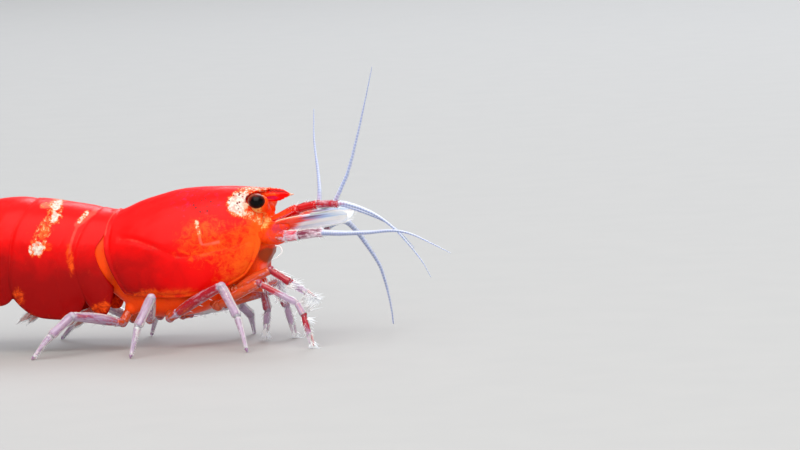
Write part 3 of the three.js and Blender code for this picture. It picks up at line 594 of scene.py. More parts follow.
def shellFields(points):
    # Each mark's strength at the points: cream from 1 inside to -1 away, the others from 1 to 0.
    far = (points[..., 1] > 0)[..., None] * np.array(shellMarks["farShift"])
    x, z = points[..., 0] - far[..., 0], points[..., 2] - far[..., 1]
    cream = [np.minimum(spot(x, z, *mark) * 1.8, most) for *mark, most in shellMarks["creamSpots"]]
    cream += [np.minimum(strip(x, z, *mark) * 1.2, most) for *mark, most in shellMarks["creamStrips"]]
    band = 0.6 - np.abs(x + 9.4 + 0.12 * (z - 2)) / 0.16   # a broken band before the tail fan, on the back
    cream.append(np.where(z > 1.9, band, -1))
    line = [most * np.clip(strip(x, z, *mark) * 2, 0, 1)
            for *mark, most in [shellMarks["groove"]] + shellMarks["lines"]]
    orange = [most * np.clip(spot(x, z, *mark) * 1.5, 0, 1) for *mark, most in shellMarks["oranges"]]
    orange.append(0.8 * smooth(3.6, 6.0, x) * smooth(6.2, 4.8, z))
    orangeMost = 0.72 + 0.6 * smooth(5.6, 6.6, x + 0.3 * (4.5 - z))
    speck = np.max([spot(x, z, *mark) for mark in shellMarks["specks"]], 0)
    # low: darker toward the bottom and the rear, partly the shell's own deeper red and partly painted shade
    # where light falls from above
    low = smooth(5.7, 2.5, z + 0.25 * np.minimum(x + 3, 0)) * smooth(5.6, 0.5, x + 0.6 * (4.4 - z))
    # rose: a pink tint over the top of the carapace, a painted sheen
    return {"cream": np.clip(np.max(cream, 0), -1, 1), "line": np.max(line, 0), "low": low,
            "orange": np.minimum(np.max(orange, 0), orangeMost), "speck": 0.9 * np.clip(speck * 3, 0, 1),
            "rose": 0.3 * smooth(5.2, 6.0, z) * smooth(1.8, 3.2, x) * smooth(5.8, 4.8, x)}


# On this shell the deep tone is partly painted shade, laid low on the body by the low field
redShell = makeShell("moultedRedChitin", {
    "bright": "#F60404", "deep": "#960202", "orange": "#FF5A10", "rose": "#D81A4C", "line": "#F67460",
    "speck": "#7A1018", "cream": "#E9DACE", "creamShade": "#D2948A", "honey": "#F4BC74", "rim": "#F4702A"})


# carapace: one thin shell over the head and thorax, open below

carapace = {"rows": 190, "columns": 181, "wall": 0.06, "rim": 0.035, "groove": 0.03, "grooveWidth": 0.24,
            "crease": 0.03, "flank": 4.7, "swell": 0.022, "grain": 0.005,
            "rear": -0.11, "rearCurve": 0.2, "rearMiddle": 4.7}
frontMargin = curve((0, 6.95), (0.08, 6.85), (0.13, 6.45), (0.2, 6.05), (0.25, 5.98), (0.3, 6.1),
                    (0.34, 6.5),
                    (0.37, 6.84), (0.41, 6.74), (0.5, 6.7), (0.6, 6.68), (0.7, 6.62), (0.8, 6.5), (0.9, 6.3),
                    (1, 5.9))


def carapaceRear(z):
    return carapace["rear"] + carapace["rearCurve"] * (z - carapace["rearMiddle"]) ** 2


def makeCarapace():
    # Rows from the rear margin to the front one, columns from the left lower edge over the back to the
    # right one. A bead and a furrow follow its margins, a groove its side and a faint crease its back.
    across = np.linspace(1, -1, carapace["columns"])[None]
    s = np.abs(across)
    rear = carapaceRear(carapaceSection(np.zeros_like(s), s)[1])
    ahead = np.linspace(0, 1, carapace["rows"])[:, None]
    x = rear + (frontMargin(s) - rear) * ahead
    y, z = carapaceSection(x, s)
    points = np.stack([x, y * np.sign(across), z], -1)
    nearest = np.minimum(frontMargin(s) - x, (1 - s) * carapace["flank"])
    nearest = np.minimum(nearest, x - rear + 0.04)
    rim = bell(nearest, 0.08, 0.06) - 0.6 * bell(nearest, 0.24, 0.07)
    groove = np.clip(strip(x, z, shellMarks["groove"][0], carapace["grooveWidth"]), 0, 1)
    lift = carapace["rim"] * rim - carapace["groove"] * smooth(0, 1, groove) * smooth(0.1, 1, x)
    lift = lift + carapace["swell"] * ripple(points, 1.9, 1) + carapace["grain"] * ripple(points, 0.4, 2)
    lift = lift - carapace["crease"] * bell(across, 0, 0.03) * smooth(5.5, 3.5, x)
    return grid(raised(points, lift), **shellFields(points))


addPiece("carapaceShell", [makeCarapace()], redShell, ["carapace"], wall=carapace["wall"])

# rostrum: a toothed blade, flattened sideways, that runs back as a low crest on the carapace

rostrum = {"start": 5.5, "tip": 7.92, "rows": 260, "around": 36,
           # teeth: where they start, over what length, how many, how high, and where each falls off
           "teeth": (5.75, 1.75, 12, 0.035, 0.82), "underTeeth": (7.05, 0.6, 4, 0.02, 0.8)}
rostrumUpper = curve((5.5, 6.8), (6.1, 6.78), (6.7, 6.72), (7.2, 6.68), (7.5, 6.61), (7.72, 6.48),
                     (7.92, 6.43))
rostrumLower = curve((5.5, 6.6), (6.1, 6.5), (6.6, 6.17), (6.9, 6.14), (7.3, 6.17), (7.6, 6.3),
                     (7.92, 6.415))
rostrumHalf = curve((5.5, 0.03), (6.3, 0.08), (6.7, 0.2), (7.1, 0.15), (7.5, 0.08), (7.8, 0.03),
                    (7.92, 0.006))


def sawTeeth(x, start, length, count, height, drop):
    # Teeth along an edge: each rises as its share to the power 1.6, and falls off after a share of drop.
    phase = (x - start) / length * count
    saw = np.where((phase > 0) & (phase < count), phase % 1, 0)
    return height * saw ** 1.6 * (1 - smooth(drop, 1.0, saw))


def makeRostrum():
    # Rings of half width * cos a between the toothed upper and lower edges, with a ridge along each side.
    x = np.linspace(rostrum["start"], rostrum["tip"], rostrum["rows"])[:, None]
    a = roundAngles(rostrum["around"])
    up = np.sin(a)
    high = rostrumUpper(x) + sawTeeth(x, *rostrum["teeth"]) * smooth(7.75, 7.3, x)
    deep = rostrumLower(x) - sawTeeth(x, *rostrum["underTeeth"])
    middle = 0.55 * high + 0.45 * deep
    y = rostrumHalf(x) * np.cos(a) * (1 + 0.5 * bell(up, 0, 0.22)) * 0.75
    z = np.where(up > 0, middle + (high - middle) * up, middle + (middle - deep) * up)
    points = np.stack([x + 0 * y, y, z], -1)
    fields = shellFields(points)
    pale = np.maximum(smooth(0.88, 0.98, up) * smooth(7.3, 6.9, x), smooth(7.55, 7.8, x))
    pale = np.maximum(pale, smooth(-0.75, -0.95, up) * smooth(7.3, 7.55, x))
    # the pink line along the top edge is a painted highlight; the pale crest and the pale tip are the thin
    # blade's own
    edges = np.maximum(smooth(0.85, 0.97, up), smooth(7.6, 7.85, x))
    underLine = 0.6 * smooth(0.2, 0.05, np.abs(up + 0.75)) * smooth(7.3, 6.9, x)
    fields.update(cream=np.where(x < 6.8, fields["cream"], 1.15 * pale - 1),
                  # rose: a rosy tint over the blade, and a pink spot at its root that is a painted highlight
                  rose=np.clip(1.5 * spot(x, z, (7.0, 6.3), (0.32, 0.09)) + 0.3, 0, 1),
                  line=np.maximum(edges, underLine),
                  low=1.1 * smooth(0.2, 0.04, np.abs(up - 0.55)) * smooth(6.7, 6.95, x),
                  orange=0.8 * smooth(0.7, 0.1, np.abs(up + 0.1)) * smooth(7.5, 7.1, x))
    return grid(points, around=True, caps=(True, True), **fields)


addPiece("rostrumBlade", [makeRostrum()], redShell, ["rostrum"])
print("carapace and rostrum made")


# abdomen: six ring plates, each slipped under the one before; the second one's flaps cover both neighbours

somites = {"rows": 90, "columns": 141, "wall": 0.05, "under": 0.45, "over": 0.16, "sink": 0.05,
           "bandWidth": 0.42, "backShare": 0.58, "flank": 6.0, "rim": 0.016, "hinge": 0.01,
           "swell": 0.016, "grain": 0.004,
           "flapDrop": (2.42, 2.62, 2.1, 1.75, 1.42, 0.95),   # how far each flap hangs
           "marginBow": (0, 0.19, 0.15, 0.11, 0.08, 0.06, 0.04),
           # how far each flap's front and rear margins are moved to the rear
           "flapShift": ((0, -0.12), (0.12, 0.3), (0.25, 0), (0, 0), (0, 0), (0, 0))}


def marginAt(number, z):
    # Where plate boundaries cross the side, along the body: bowed to the rear in the middle of the side.
    if number == 0:
        return -carapaceRear(backHeight + np.maximum(z, -1.2))
    return somiteEnds[number] - somites["marginBow"][number] * z ** 2 * np.where(z > 0, 1, 0.5)


def makeSomite(number):
    # Rows from the front margin to the rear one, columns from the left flap's end over the back to the
    # right one's: an arch of powers of cosine and sine, and flaps below it that draw in a little.
    v = np.linspace(1, -1, somites["columns"])[None]
    t = np.linspace(0, 1, somites["rows"])[:, None]
    share = np.abs(v)
    arch = np.clip(share / somites["backShare"], 0, 1)
    flap = np.clip((share - somites["backShare"]) / (1 - somites["backShare"]), 0, 1)
    # the flap's outline is a lobe, rounder behind; the last plate's is nearly straight
    lobe = 1 - 0.42 * np.abs(2 * t - 1.06) ** 3 if number < 5 else 1 - 0.25 * t
    deep = somites["flapDrop"][number] * lobe
    theta = np.pi / 2 * (1 - arch)
    middleS = 0.5 * (somiteEnds[number] + somiteEnds[number + 1])
    zSquare = np.where(flap > 0, -deep * flap, backTop(middleS) * np.sin(theta) ** 0.95)
    frontShift, rearShift = somites["flapShift"][number]
    first = marginAt(number, zSquare) - somites["under"] * (number > 0) + flap * frontShift
    last = marginAt(number + 1, zSquare) + somites["over"] * (number < 5) + flap * rearShift
    if number == 0:   # a band of skin shows between the carapace and the first plate's lower part
        first = first + 0.05 + somites["bandWidth"] * smooth(1.3, 0.3, zSquare)
    s = first + (last - first) * t
    tuck = smooth(0.32, 0.02, t) * (number > 0)
    swell = 1 - somites["sink"] * tuck * (1 - (number == 1) * flap * 1.6)
    swell = swell * (0.99 + 0.01 * np.sin(np.pi * t) + 0.006 * (number == 1) - 0.012 * (number == 0) * flap)
    if number == 5:
        swell = swell * (1 - 0.16 * smooth(0.9, 1, t) ** 2)
    y = backHalfWidth(s) * np.where(flap > 0, 1 - 0.16 * flap ** 2.6, np.cos(theta) ** 0.85) * swell
    z = np.where(flap > 0, -deep * flap, backTop(s) * np.sin(theta) ** 0.95) * swell
    points = byBack(s, y * np.sign(v), z)
    toRear = (1 - t) * (last - first)
    nearest = np.minimum(toRear, (1 - share) * somites["flank"])
    rim = bell(nearest, 0.06, 0.05) - 0.5 * bell(nearest, 0.2, 0.07)
    hinge = bell((t - 0.36) * (last - first), 0, 0.05) * smooth(0, 0.3, arch) * (number > 0)
    lift = somites["rim"] * rim - somites["hinge"] * hinge
    lift = lift + somites["swell"] * ripple(points, 1.5, 10 + number)
    points = raised(points, lift + somites["grain"] * ripple(points, 0.35, 20 + number))
    fields = shellFields(points)
    if number in (2, 3):   # the third and fourth plates have no cream
        fields["cream"] = np.full(points.shape[:2], -1.0)
    margin = 0.3 * bell(toRear, 0.03, 0.035) * smooth(0.95, 0.6, share)
    fields["line"] = np.maximum(fields["line"], margin)
    fields["orange"] = np.maximum(fields["orange"], 0.35 * smooth(0.93, 1, share))
    return grid(points, **fields)


for number in range(6):
    addPiece(f"somiteShell{number + 1}", [makeSomite(number)], redShell, [f"abdomen_{number + 1}"],
             wall=somites["wall"])
print("abdomen made")


# tail fan: flat leaves with ribs, laid out toward the tail and then turned into place

tailRoot = byBack(13.42, 0, 0)
tail = {"thick": 0.34, "crown": 0.05, "hair": 0.013, "leaves": {
    "telson": {"long": 3.2, "half": curve((0, 0.5), (0.3, 0.5), (0.85, 0.3), (1, 0.25)),
               "ribs": [(0, 0.16, 0.07), (0.55, 0.1, 0.03), (-0.55, 0.1, 0.03)],
               "at": {"at": tailRoot + (0.16, 0, 0.26), "pitch": 14},
               "rootSwell": 1.3, "hairs": 46, "hairLength": 0.6},
    "inner": {"long": 3.3, "half": curve((0, 0.28), (0.25, 0.46), (0.6, 0.58), (0.87, 0.5), (1, 0.3)),
              "ribs": [(0.05, 0.12, 0.06), (-0.35, 0.08, 0.02)],
              "at": {"at": tailRoot + (0.13, 0.78, -0.22), "pitch": 9, "spread": 8, "roll": -4},
              "rootSwell": 0.9, "hairs": 150, "hairLength": 1},
    "outer": {"long": 3.3, "half": curve((0, 0.28), (0.25, 0.54), (0.6, 0.74), (0.87, 0.64), (1, 0.34)),
              "ribs": [(0.1, 0.12, 0.06), (0.78, 0.09, 0.05), (-0.4, 0.08, 0.02)],
              "at": {"at": tailRoot + (0.22, 1, -0.22), "pitch": 9, "spread": 30, "roll": -6},
              "rootSwell": 0.9, "hairs": 150, "hairLength": 1}}}
tailLeaves = [("telsonShell", "telson", "telson", 1)]
tailLeaves += [(f"{kind}Uropod{side}", f"uropod_{kind}_{side}", kind, way)
               for side, way in sides.items() for kind in ("inner", "outer")]
for index, (name, node, kind, way) in enumerate(tailLeaves):
    shape = tail["leaves"][kind]
    long, half, at = (shape[key] for key in ("long", "half", "at"))
    blade = leaf(long, half, tail["thick"], shape["ribs"], tail["crown"], at, way,
                 rootSwell=shape["rootSwell"],
                 cream=lambda t, q: np.clip(1.2 - np.abs(t - 0.2) / 0.09, -1, 0.25),
                 line=lambda t, q: 0.2 * smooth(0.55, 1, t) + 0.5 * smooth(0.9, 1.0, t),
                 orange=lambda t, q: 0.7 * smooth(0.35, 1, t) + 0.3 * smooth(0.7, 1, np.abs(q)),
                 low=lambda t, q: 0.25 * (1 - t) + 0.15 * smooth(0.5, 0, np.abs(q)),
                 speck=lambda t, q: 0.35 * smooth(0.5, 0.9, t))
    addPiece(name, [blade], redShell, [node])
    # hairs round the free end of the leaf, for run from -1 on one edge over 0 at the tip to 1
    count = shape["hairs"]
    run = np.linspace(-1, 1, count)
    t = 1 - 0.55 * np.abs(run) ** 1.6
    endRounding = np.clip(1 - np.clip((t - 0.88) / 0.12, 0, 1) ** 2, 0.0, 1) ** 0.5
    inward = np.where(np.abs(run) < 0.25, run / 0.25 * 0.8, np.sign(run))
    rootY = half(t) * inward * np.maximum(endRounding, 0.35)
    roots = np.stack([-long * t * 0.995, rootY * 0.98, 0 * t + 0.02], -1)
    aims = np.stack([-np.ones(count), 0.75 * run, 0 * t + 0.04 * dice.normal(size=count)], -1)
    lengths = (0.62 - 0.28 * np.abs(run)) * dice.uniform(0.85, 1.05, count) * shape["hairLength"]
    uv = np.stack([0.02 + 0.9 * (index + 0.5 + run * 0.45) / 5, 0.1 + 0.8 * t], -1)
    addFringe("tailFringe", roots, aims, at, way, lengths, tail["hair"], uv)
print("tail fan made")


# skin: the soft body inside the shells, and what grows from it, made one by remeshing

def bodyTube():
    # Rings from the tail to the snout. Above the waist they follow the shells a little inside them; below
    # it, half width and depth go down to the belly or the keel of the thorax.
    a = roundAngles(96)
    depth = np.abs(np.sin(a))
    s = np.linspace(13.5, 0.1, 150)[:, None]
    inside = 0.9 + 0.04 * smooth(1.2, 0.6, s) - 0.25 * smooth(13.0, 13.5, s) ** 2
    upper = np.sin(a) > 0
    wide, top, belly = backHalfWidth(s) * inside, backTop(s) * inside, bellyDrop(s)
    y = wide * np.sign(np.cos(a)) * np.abs(np.cos(a)) ** np.where(upper, 0.85, 0.75)
    z = np.where(upper, top * depth ** 0.95, -belly * depth ** 0.9)
    back = byBack(s, y, z)
    x = np.concatenate([np.linspace(0.1, 6.0, 90), np.linspace(6.05, 7.16, 26)])[:, None]
    skinTop = curve((0, 5.6), (0.6, 5.82), (1.4, 6.18), (3, 6.55), (4.7, 6.62), (5.5, 6.45), (6.0, 6.12),
                    (6.35, 5.95), (6.6, 5.8), (6.8, 5.45), (7.0, 5.25), (7.16, 5.1))(x)
    skinWide = curve((0, 1.56), (1, 1.74), (2.6, 1.84), (4.2, 1.7), (5.6, 1.3), (6.1, 1.04), (6.4, 0.98),
                     (6.72, 0.97), (6.95, 0.82), (7.1, 0.55), (7.16, 0.35))(x)
    skinLow = curve((0, 2.3), (0.6, 1.8), (0.95, 1.5), (2, 1.3), (3.4, 1.4), (4.6, 1.8), (5.3, 2.15),
                    (6.1, 2.8), (6.75, 3.55), (6.95, 3.95), (7.1, 4.4), (7.16, 4.7))(x)
    waist = carapaceWaist(x)
    below = curve((0, 1), (0.3, 0.9), (0.6, 0.7), (0.8, 0.6), (0.92, 0.45), (0.98, 0.22), (1, 0))(depth)
    y = skinWide * np.where(upper, np.abs(np.cos(a)) ** 0.9, below) * np.sign(np.cos(a))
    z = np.where(upper, waist + (skinTop - waist) * depth ** 0.95, waist - (waist - skinLow) * depth)
    front = np.stack([x + 0 * y, y, z], -1)
    return grid(np.concatenate([back, front]), around=True, caps=(True, True))


def stemPlace(number):
    # Where a swimming leg's stem stands along the bent line, and its size as a share of the first one's.
    return 0.5 * (somiteEnds[number] + somiteEnds[number + 1]) - 0.1, 1 - 0.12 * number


eye = {"centre": (6.52, 1.22, 6.27), "radius": 0.37, "long": 0.95, "high": 0.87, "pole": (0.3, 1.0, -0.22)}
skin = {   # lumps are (centre, radii), all for the left side
    "voxel": 0.062, "smoothing": 8, "eyeRoot": (6.78, 0.36, 5.72), "eyeInset": (0.05, -0.1, -0.05),
    "stalk": curve((0, 0.25), (0.35, 0.27), (0.62, 0.36), (0.85, 0.41), (1, 0.36)),
    "mouth": [((6.66, 0.34, 4.02), (0.32, 0.3, 0.26)), ((6.3, 0.42, 3.35), (0.42, 0.26, 0.42)),
              ((5.8, 0.4, 2.75), (0.5, 0.3, 0.4))],   # upper lip and jaws
    "palpEnds": [(6.72, 0.42, 3.5), (6.66, 0.5, 3.05), (6.5, 0.5, 2.6)],   # leaf-like mouth legs
    "palp": curve((0, 0.2), (0.5, 0.19), (1, 0.09)),
    "roots": [(byBack(13.3, 0.62, -0.22), (0.42, 0.34, 0.3)),
              (byBack(13.25, 0.25, 0.0), (0.4, 0.4, 0.42)),     # stems of the tail fan
              ((7.1, 0.84, 4.84), (0.78, 0.46, 0.52)),          # base of the antenna
              ((7.36, 1.06, 5.12), (0.56, 0.24, 0.28)),         # root of the antennal scale
              ((6.8, 0.42, 5.2), (0.45, 0.38, 0.38))],          # base of the antennule
    "hips": [(5.1, 0.6, 2.25), (4.35, 0.6, 1.9), (2.5, 0.6, 1.6), (1.55, 0.6, 1.55), (0.75, 0.6, 1.65)],
    "hipLift": (0, 0, 0.14), "hip": (0.32, 0.4, 0.32)}
skinParts = [bodyTube()]
for way in sides.values():
    eyeRoot = onSide(skin["eyeRoot"], way)
    eyeBack = onSide(eye["centre"], way) + onSide(skin["eyeInset"], way)
    t = np.linspace(0, 1, 20)
    skinParts.append(tube(between(eyeRoot, eyeBack, t), skin["stalk"](t), 28))
    skinParts += [blob(onSide(centre, way), radii) for centre, radii in skin["mouth"]]
    t = np.linspace(0, 1, 16)
    for end in skin["palpEnds"]:
        palp = between(onSide((6.2, 0.4, end[2] + 0.25), way), onSide(end, way), t)
        skinParts.append(tube(palp, skin["palp"](t), 20, flat=0.8))
    skinParts += [blob(onSide(centre, way), radii) for centre, radii in skin["roots"]]
    skinParts += [blob(onSide(hip, way) + skin["hipLift"], skin["hip"]) for hip in skin["hips"]]
    for number in range(5):
        s, size = stemPlace(number)
        stem = between(byBack(s, way * (0.15 + 0.47 * size), -bellyDrop(s) + 0.1),
                       byBack(s + 0.25, way * (0.15 + 0.5 * size), -bellyDrop(s) - 0.72 * size), t)
        skinParts.append(tube(stem, np.linspace(0.3, 0.22, 16) * size, 20, flat=0.7))


def remeshed(parts, voxel, smoothing):
    # One closed mesh from overlapping parts: the points are joined on a grid of small cubes, then eased.
    mesh = bpy.data.meshes.new("lumps")
    first = np.cumsum([0] + [len(p["points"]) for p in parts])
    faces = [face for p, n in zip(parts, first) for key in ("quads", "tris")
             for face in (p[key] + n).tolist()]
    mesh.from_pydata(np.concatenate([p["points"] for p in parts]).tolist(), [], faces)
    lumpObject = bpy.data.objects.new("lumps", mesh)
    bpy.context.scene.collection.objects.link(lumpObject)
    remesh = lumpObject.modifiers.new("join", "REMESH")
    remesh.mode = "VOXEL"
    remesh.voxel_size = voxel
    ease = lumpObject.modifiers.new("ease", "SMOOTH")
    ease.factor = 0.5
    ease.iterations = smoothing
    done = lumpObject.evaluated_get(bpy.context.evaluated_depsgraph_get()).to_mesh()
    points = np.empty(3 * len(done.vertices))
    done.vertices.foreach_get("co", points)
    sizes = np.empty(len(done.polygons), int)
    done.polygons.foreach_get("loop_total", sizes)
    corners = np.empty(len(done.loops), int)
    done.loops.foreach_get("vertex_index", corners)
    starts = np.concatenate([[0], np.cumsum(sizes)[:-1]])
    quads, tris = (corners[starts[sizes == n][:, None] + np.arange(n)] for n in (4, 3))
    bpy.data.objects.remove(lumpObject)
    points = points.reshape(-1, 3)
    around = np.arctan2(points[:, 1], points[:, 2] - 3.5) / (2 * np.pi) + 0.5
    flat = np.stack([(points[:, 0] + 16) / 25, around], -1)   # an unwrap by length and angle
    return {"points": points, "quads": quads, "tris": tris, "quadUv": flat[quads], "triUv": flat[tris]}


def skinFields(points):
    # Orange under the shells' gap and the thorax, brown at the mouth, cream and orange eye cups.
    x, y, z = points.T
    beside = smooth(0.5, 0.7, np.abs(y))
    cup = smooth(6.0, 6.15, x) * beside * smooth(5.5, 5.7, z)
    cream = np.where(cup > 0.5, 0.35 - 1.5 * smooth(6.6, 7.0, x), -1.0)
    cheek = np.clip(spot(x, z, (6.6, 5.42), (0.42, 0.36)) * 1.5, -1, 0.2)
    cream = np.maximum(cream, np.where(beside > 0.5, cheek, -1))
    mouth = np.clip(spot(x, z, (6.8, 3.88), (0.56, 0.44)) * 2.4, 0, 1)
    jaws = smooth(6.3, 6.6, x) * smooth(3.7, 3.4, z)
    rosy = np.clip(spot(x, z, (7.45, 5.12), (0.85, 0.4)) * 1.6, 0, 1)
    knob = np.clip(spot(x, z, (7.4, 4.8), (0.85, 0.62)) * 2, 0, 1)
    orange = 1.15 * smooth(-1.1, -0.6, x) - 0.5 * jaws - 0.3 * knob
    orange = np.clip(orange, 0, 1.15) * (1 - 0.9 * mouth)
    low = np.clip(smooth(-0.5, -1.3, x) + mouth, 0, 1)
    return {"cream": cream, "orange": orange, "low": low, "rose": np.maximum(0.62 * rosy, 0.45 * knob),
            "line": np.maximum(1.2 * jaws, 0.3 * knob)}


fleshySkin = makeShell("softCuticleOverFlesh", {
    "bright": "#E81A06", "deep": "#A4401C", "orange": "#FF4C0A", "rose": "#D43442", "line": "#EC6E60",
    "speck": "#4A1408", "cream": "#F4DCB0", "creamShade": "#F0AC70", "honey": "#FFA448", "rim": "#F06A20"})
skinPart = remeshed(skinParts, skin["voxel"], skin["smoothing"])
skinPart["fields"] = skinFields(skinPart["points"])
swimmerets = [f"swimmeret_{number}_{side}" for number in range(1, 6) for side in sides]
fleshNodes = ["head", "thorax", "mouthparts"] + [f"eye_stalk_{side}" for side in sides] + swimmerets
addPiece("skin", [skinPart], fleshySkin, fleshNodes, uvName="OFBake")
print("skin made", len(skinPart["quads"]), "faces")


# eyes: a glossy cornea over black pigment, with a brown rim above and behind

def makeEye():
    # Clear cornea cast over dark pigment: wet gloss, a dark disc, a red-brown rim, and facets drawn coarser.
    material, tree, shader, place, field = newMaterial("corneaOverPigment", ("rim",))
    cells = addNode(tree, "TexVoronoi", {"Vector": place, "Scale": 1 / 0.04}, out="Distance")
    patches = addNode(tree, "TexNoise", {"Vector": place, "Scale": 1 / 0.12, "Detail": 3})
    edge = addNode(tree, "MapRange", {"Value": patches, 1: 0.3, 2: 0.7, 3: -0.12, 4: 0.12})
    edge = addNode(tree, "Math", {0: edge, 1: field["rim"]}, operation="ADD", use_clamp=True)
    pigment = addNode(tree, "ValToRGB", {0: edge})
    stops = pigment.node.color_ramp.elements
    stops[0].color, stops[1].color = rgb("#020101"), rgb("#93401F")
    for at, tone in ((0.46, "#040202"), (0.57, "#260706"), (0.74, "#5E1810")):
        stops.new(at).color = rgb(tone)
    bump = addNode(tree, "Bump", {"Height": cells, "Strength": 0.12, "Distance": 0.006 * mm})
    setInputs(tree, shader, {"Base Color": pigment, "Normal": bump, "Roughness": 0.3, "IOR": 1.33,
                             "Specular IOR Level": 0.15, "Coat Weight": 0.2, "Coat Roughness": 0.04,
                             "Coat IOR": 1.38})
    return material


cornea = makeEye()
for side, way in sides.items():
    centre = onSide(eye["centre"], way)
    ball = blob(centre, np.array((1, eye["long"], eye["high"])) * eye["radius"], 48, 48)
    aim = unit((ball["points"] - centre) / (1, 1, eye["high"]))
    offPole = np.arccos(np.clip(aim @ unit(onSide(eye["pole"], way)), -1, 1))
    ball["fields"]["rim"] = np.clip(np.degrees(offPole) / 90, 0, 1)
    addPiece(f"eye{side}", [ball], cornea, [f"eye_{side}"])
print("eyes made")


# legs: jointed tubes of thin clear shell, each length set into the one before

lengthGrid = {"rows": 30, "around": 24}
lengthShapes = {   # half thickness along a length, as a share of its widest
    "root": curve((0, 0.8), (0.3, 0.95), (0.75, 0.9), (0.92, 1.0), (1, 0.78)),
    "long": curve((0, 0.62), (0.1, 0.9), (0.3, 1.02), (0.6, 1.0), (0.85, 0.88), (0.95, 0.9), (1, 0.6)),
    "short": curve((0, 0.66), (0.1, 0.86), (0.5, 0.9), (0.84, 1.0), (0.95, 1.0), (1, 0.7)),
    "shin": curve((0, 0.7), (0.08, 0.94), (0.3, 0.96), (0.6, 0.9), (0.88, 0.98), (0.96, 0.94), (1, 0.6)),
    "foot": curve((0, 0.62), (0.05, 0.92), (0.12, 0.98), (0.35, 0.88), (0.85, 0.68), (0.96, 0.66), (1, 0.5)),
    "claw": curve((0, 0.9), (0.2, 1.0), (0.6, 0.6), (0.9, 0.22), (1, 0.05)),
    "palm": curve((0, 0.6), (0.15, 0.95), (0.6, 1.1), (1, 0.95)),
    "finger": curve((0, 0.95), (0.5, 0.8), (0.85, 0.55), (1, 0.2))}


def lengthOf(start, end, radius, shape, bow=0.0, taper=1.0, red=0.0, stain=0.0, pale=0.15, flesh=0.0,
             flat=0.9, fade=0.16, bare=1.0):
    # One length of a limb from start to end, bowed upward by a share of its length. Red and stain are
    # strengths in the middle, each one number or a pair from start to end; the ends are bare and pale.
    t = np.linspace(0, 1, lengthGrid["rows"])
    path = between(start, end, t)
    path[:, 2] += bow * np.linalg.norm(end - start) * 4 * t * (1 - t)
    radii = radius * lengthShapes[shape](t) * (1 + (taper - 1) * t)
    middle = 1 - bare * (1 - smooth(0.0, fade, t) * smooth(1.0, 1 - fade, t))
    ends = bare * np.maximum(smooth(1 - fade, 1 - 0.1 * fade, t), smooth(0.6 * fade, 0.0, t))
    red, stain, flesh = (np.interp(t, (0, 1), np.broadcast_to(value, 2)) for value in (red, stain, flesh))
    return tube(path, radii, lengthGrid["around"], beside=(0, 1, 0.01), flat=flat, red=red * middle,
                stain=stain * middle, pale=pale + 0.3 * ends, flesh=flesh)


def bendBall(at, size, **tones):
    # A ball in the bend between two lengths, of the same colour all over.
    ball = blob(at, (size, size, size), 14, 18)
    ball["fields"] = {key: np.full(len(ball["points"]), value) for key, value in tones.items()}
    return ball


def pieceName(node):
    # The name of the piece that stands for a node: leg1_R gives leg1R.
    first, *rest = node.split("_")
    return first + "".join(word.capitalize() for word in rest)


legLines = {
    "leg3_R": [(2.5, 0.6, 1.9), (2.48, 1, 1.35), (5.06, 2.3, 2.77), (5.77, 2.64, 1.5), (6.22, 3.05, 0.0)],
    "leg4_R": [(1.5, 0.6, 1.9), (1.6, 1, 1.3), (2.26, 3.5, 2.47), (1.73, 3.95, 1.33), (1.4, 4.25, 0.0)],
    "leg5_R": [(0.75, 0.5, 1.9), (0.4, 1, 1.2), (-1.34, 3, 1.72), (-2.18, 3.45, 0.98), (-2.97, 3.9, 0.0)],
    "leg3_L": [(2.5, 0.6, 1.9), (2.6, 1, 1.25), (4.75, 2.7, 1.5), (5.1, 3.4, 0.95), (5.06, 4.22, 0.0)],
    "leg4_L": [(1.5, 0.6, 1.9), (1.6, 1, 1.25), (1.45, 3.4, 2.3), (0.9, 3.9, 1.3), (0.42, 4.25, 0.0)],
    "leg5_L": [(0.75, 0.5, 1.9), (0.4, 1, 1.15), (-1.7, 3, 1.7), (-2.5, 3.45, 1.05), (-3.55, 3.87, 0.0)]}
walking = {"root": 0.24, "merus": 0.255, "carpus": 0.24, "foot": 0.195, "claw": 0.105, "clawShare": 0.13,
           # spines of merus and foot: first and last share, how many, long, how far out, and drawn in
           "spines": ((0.35, 0.92, 4, 0.2, 0.204, 0.0), (0.15, 0.95, 11, 0.1, 0.1209, 0.3))}
walkingTones = {   # red of the merus, carpus and foot, and how pale the merus is
    # the far (left) legs' merus is painted paler: painted light, lifting them out of the body's shade
    "leg3_R": (0.78, 0.15, 0.0, -0.1), "leg4_R": (0.2, 0.3, 0.05, 0.1), "leg5_R": (0.3, 0.2, 0.05, 0.05),
    "leg3_L": (0.3, 0.1, 0.0, 0.6), "leg4_L": (0.3, 0.2, 0.0, 0.4), "leg5_L": (0.3, 0.1, 0.0, 0.4)}
clearLimb = makeLimb("clearChitinOverTissue", {"pale": "#E4D6EA", "tint": "#A674A4", "red": "#C41430",
                                                "stain": "#94567E", "flesh": "#F0602C", "white": "#FFFFFF"})
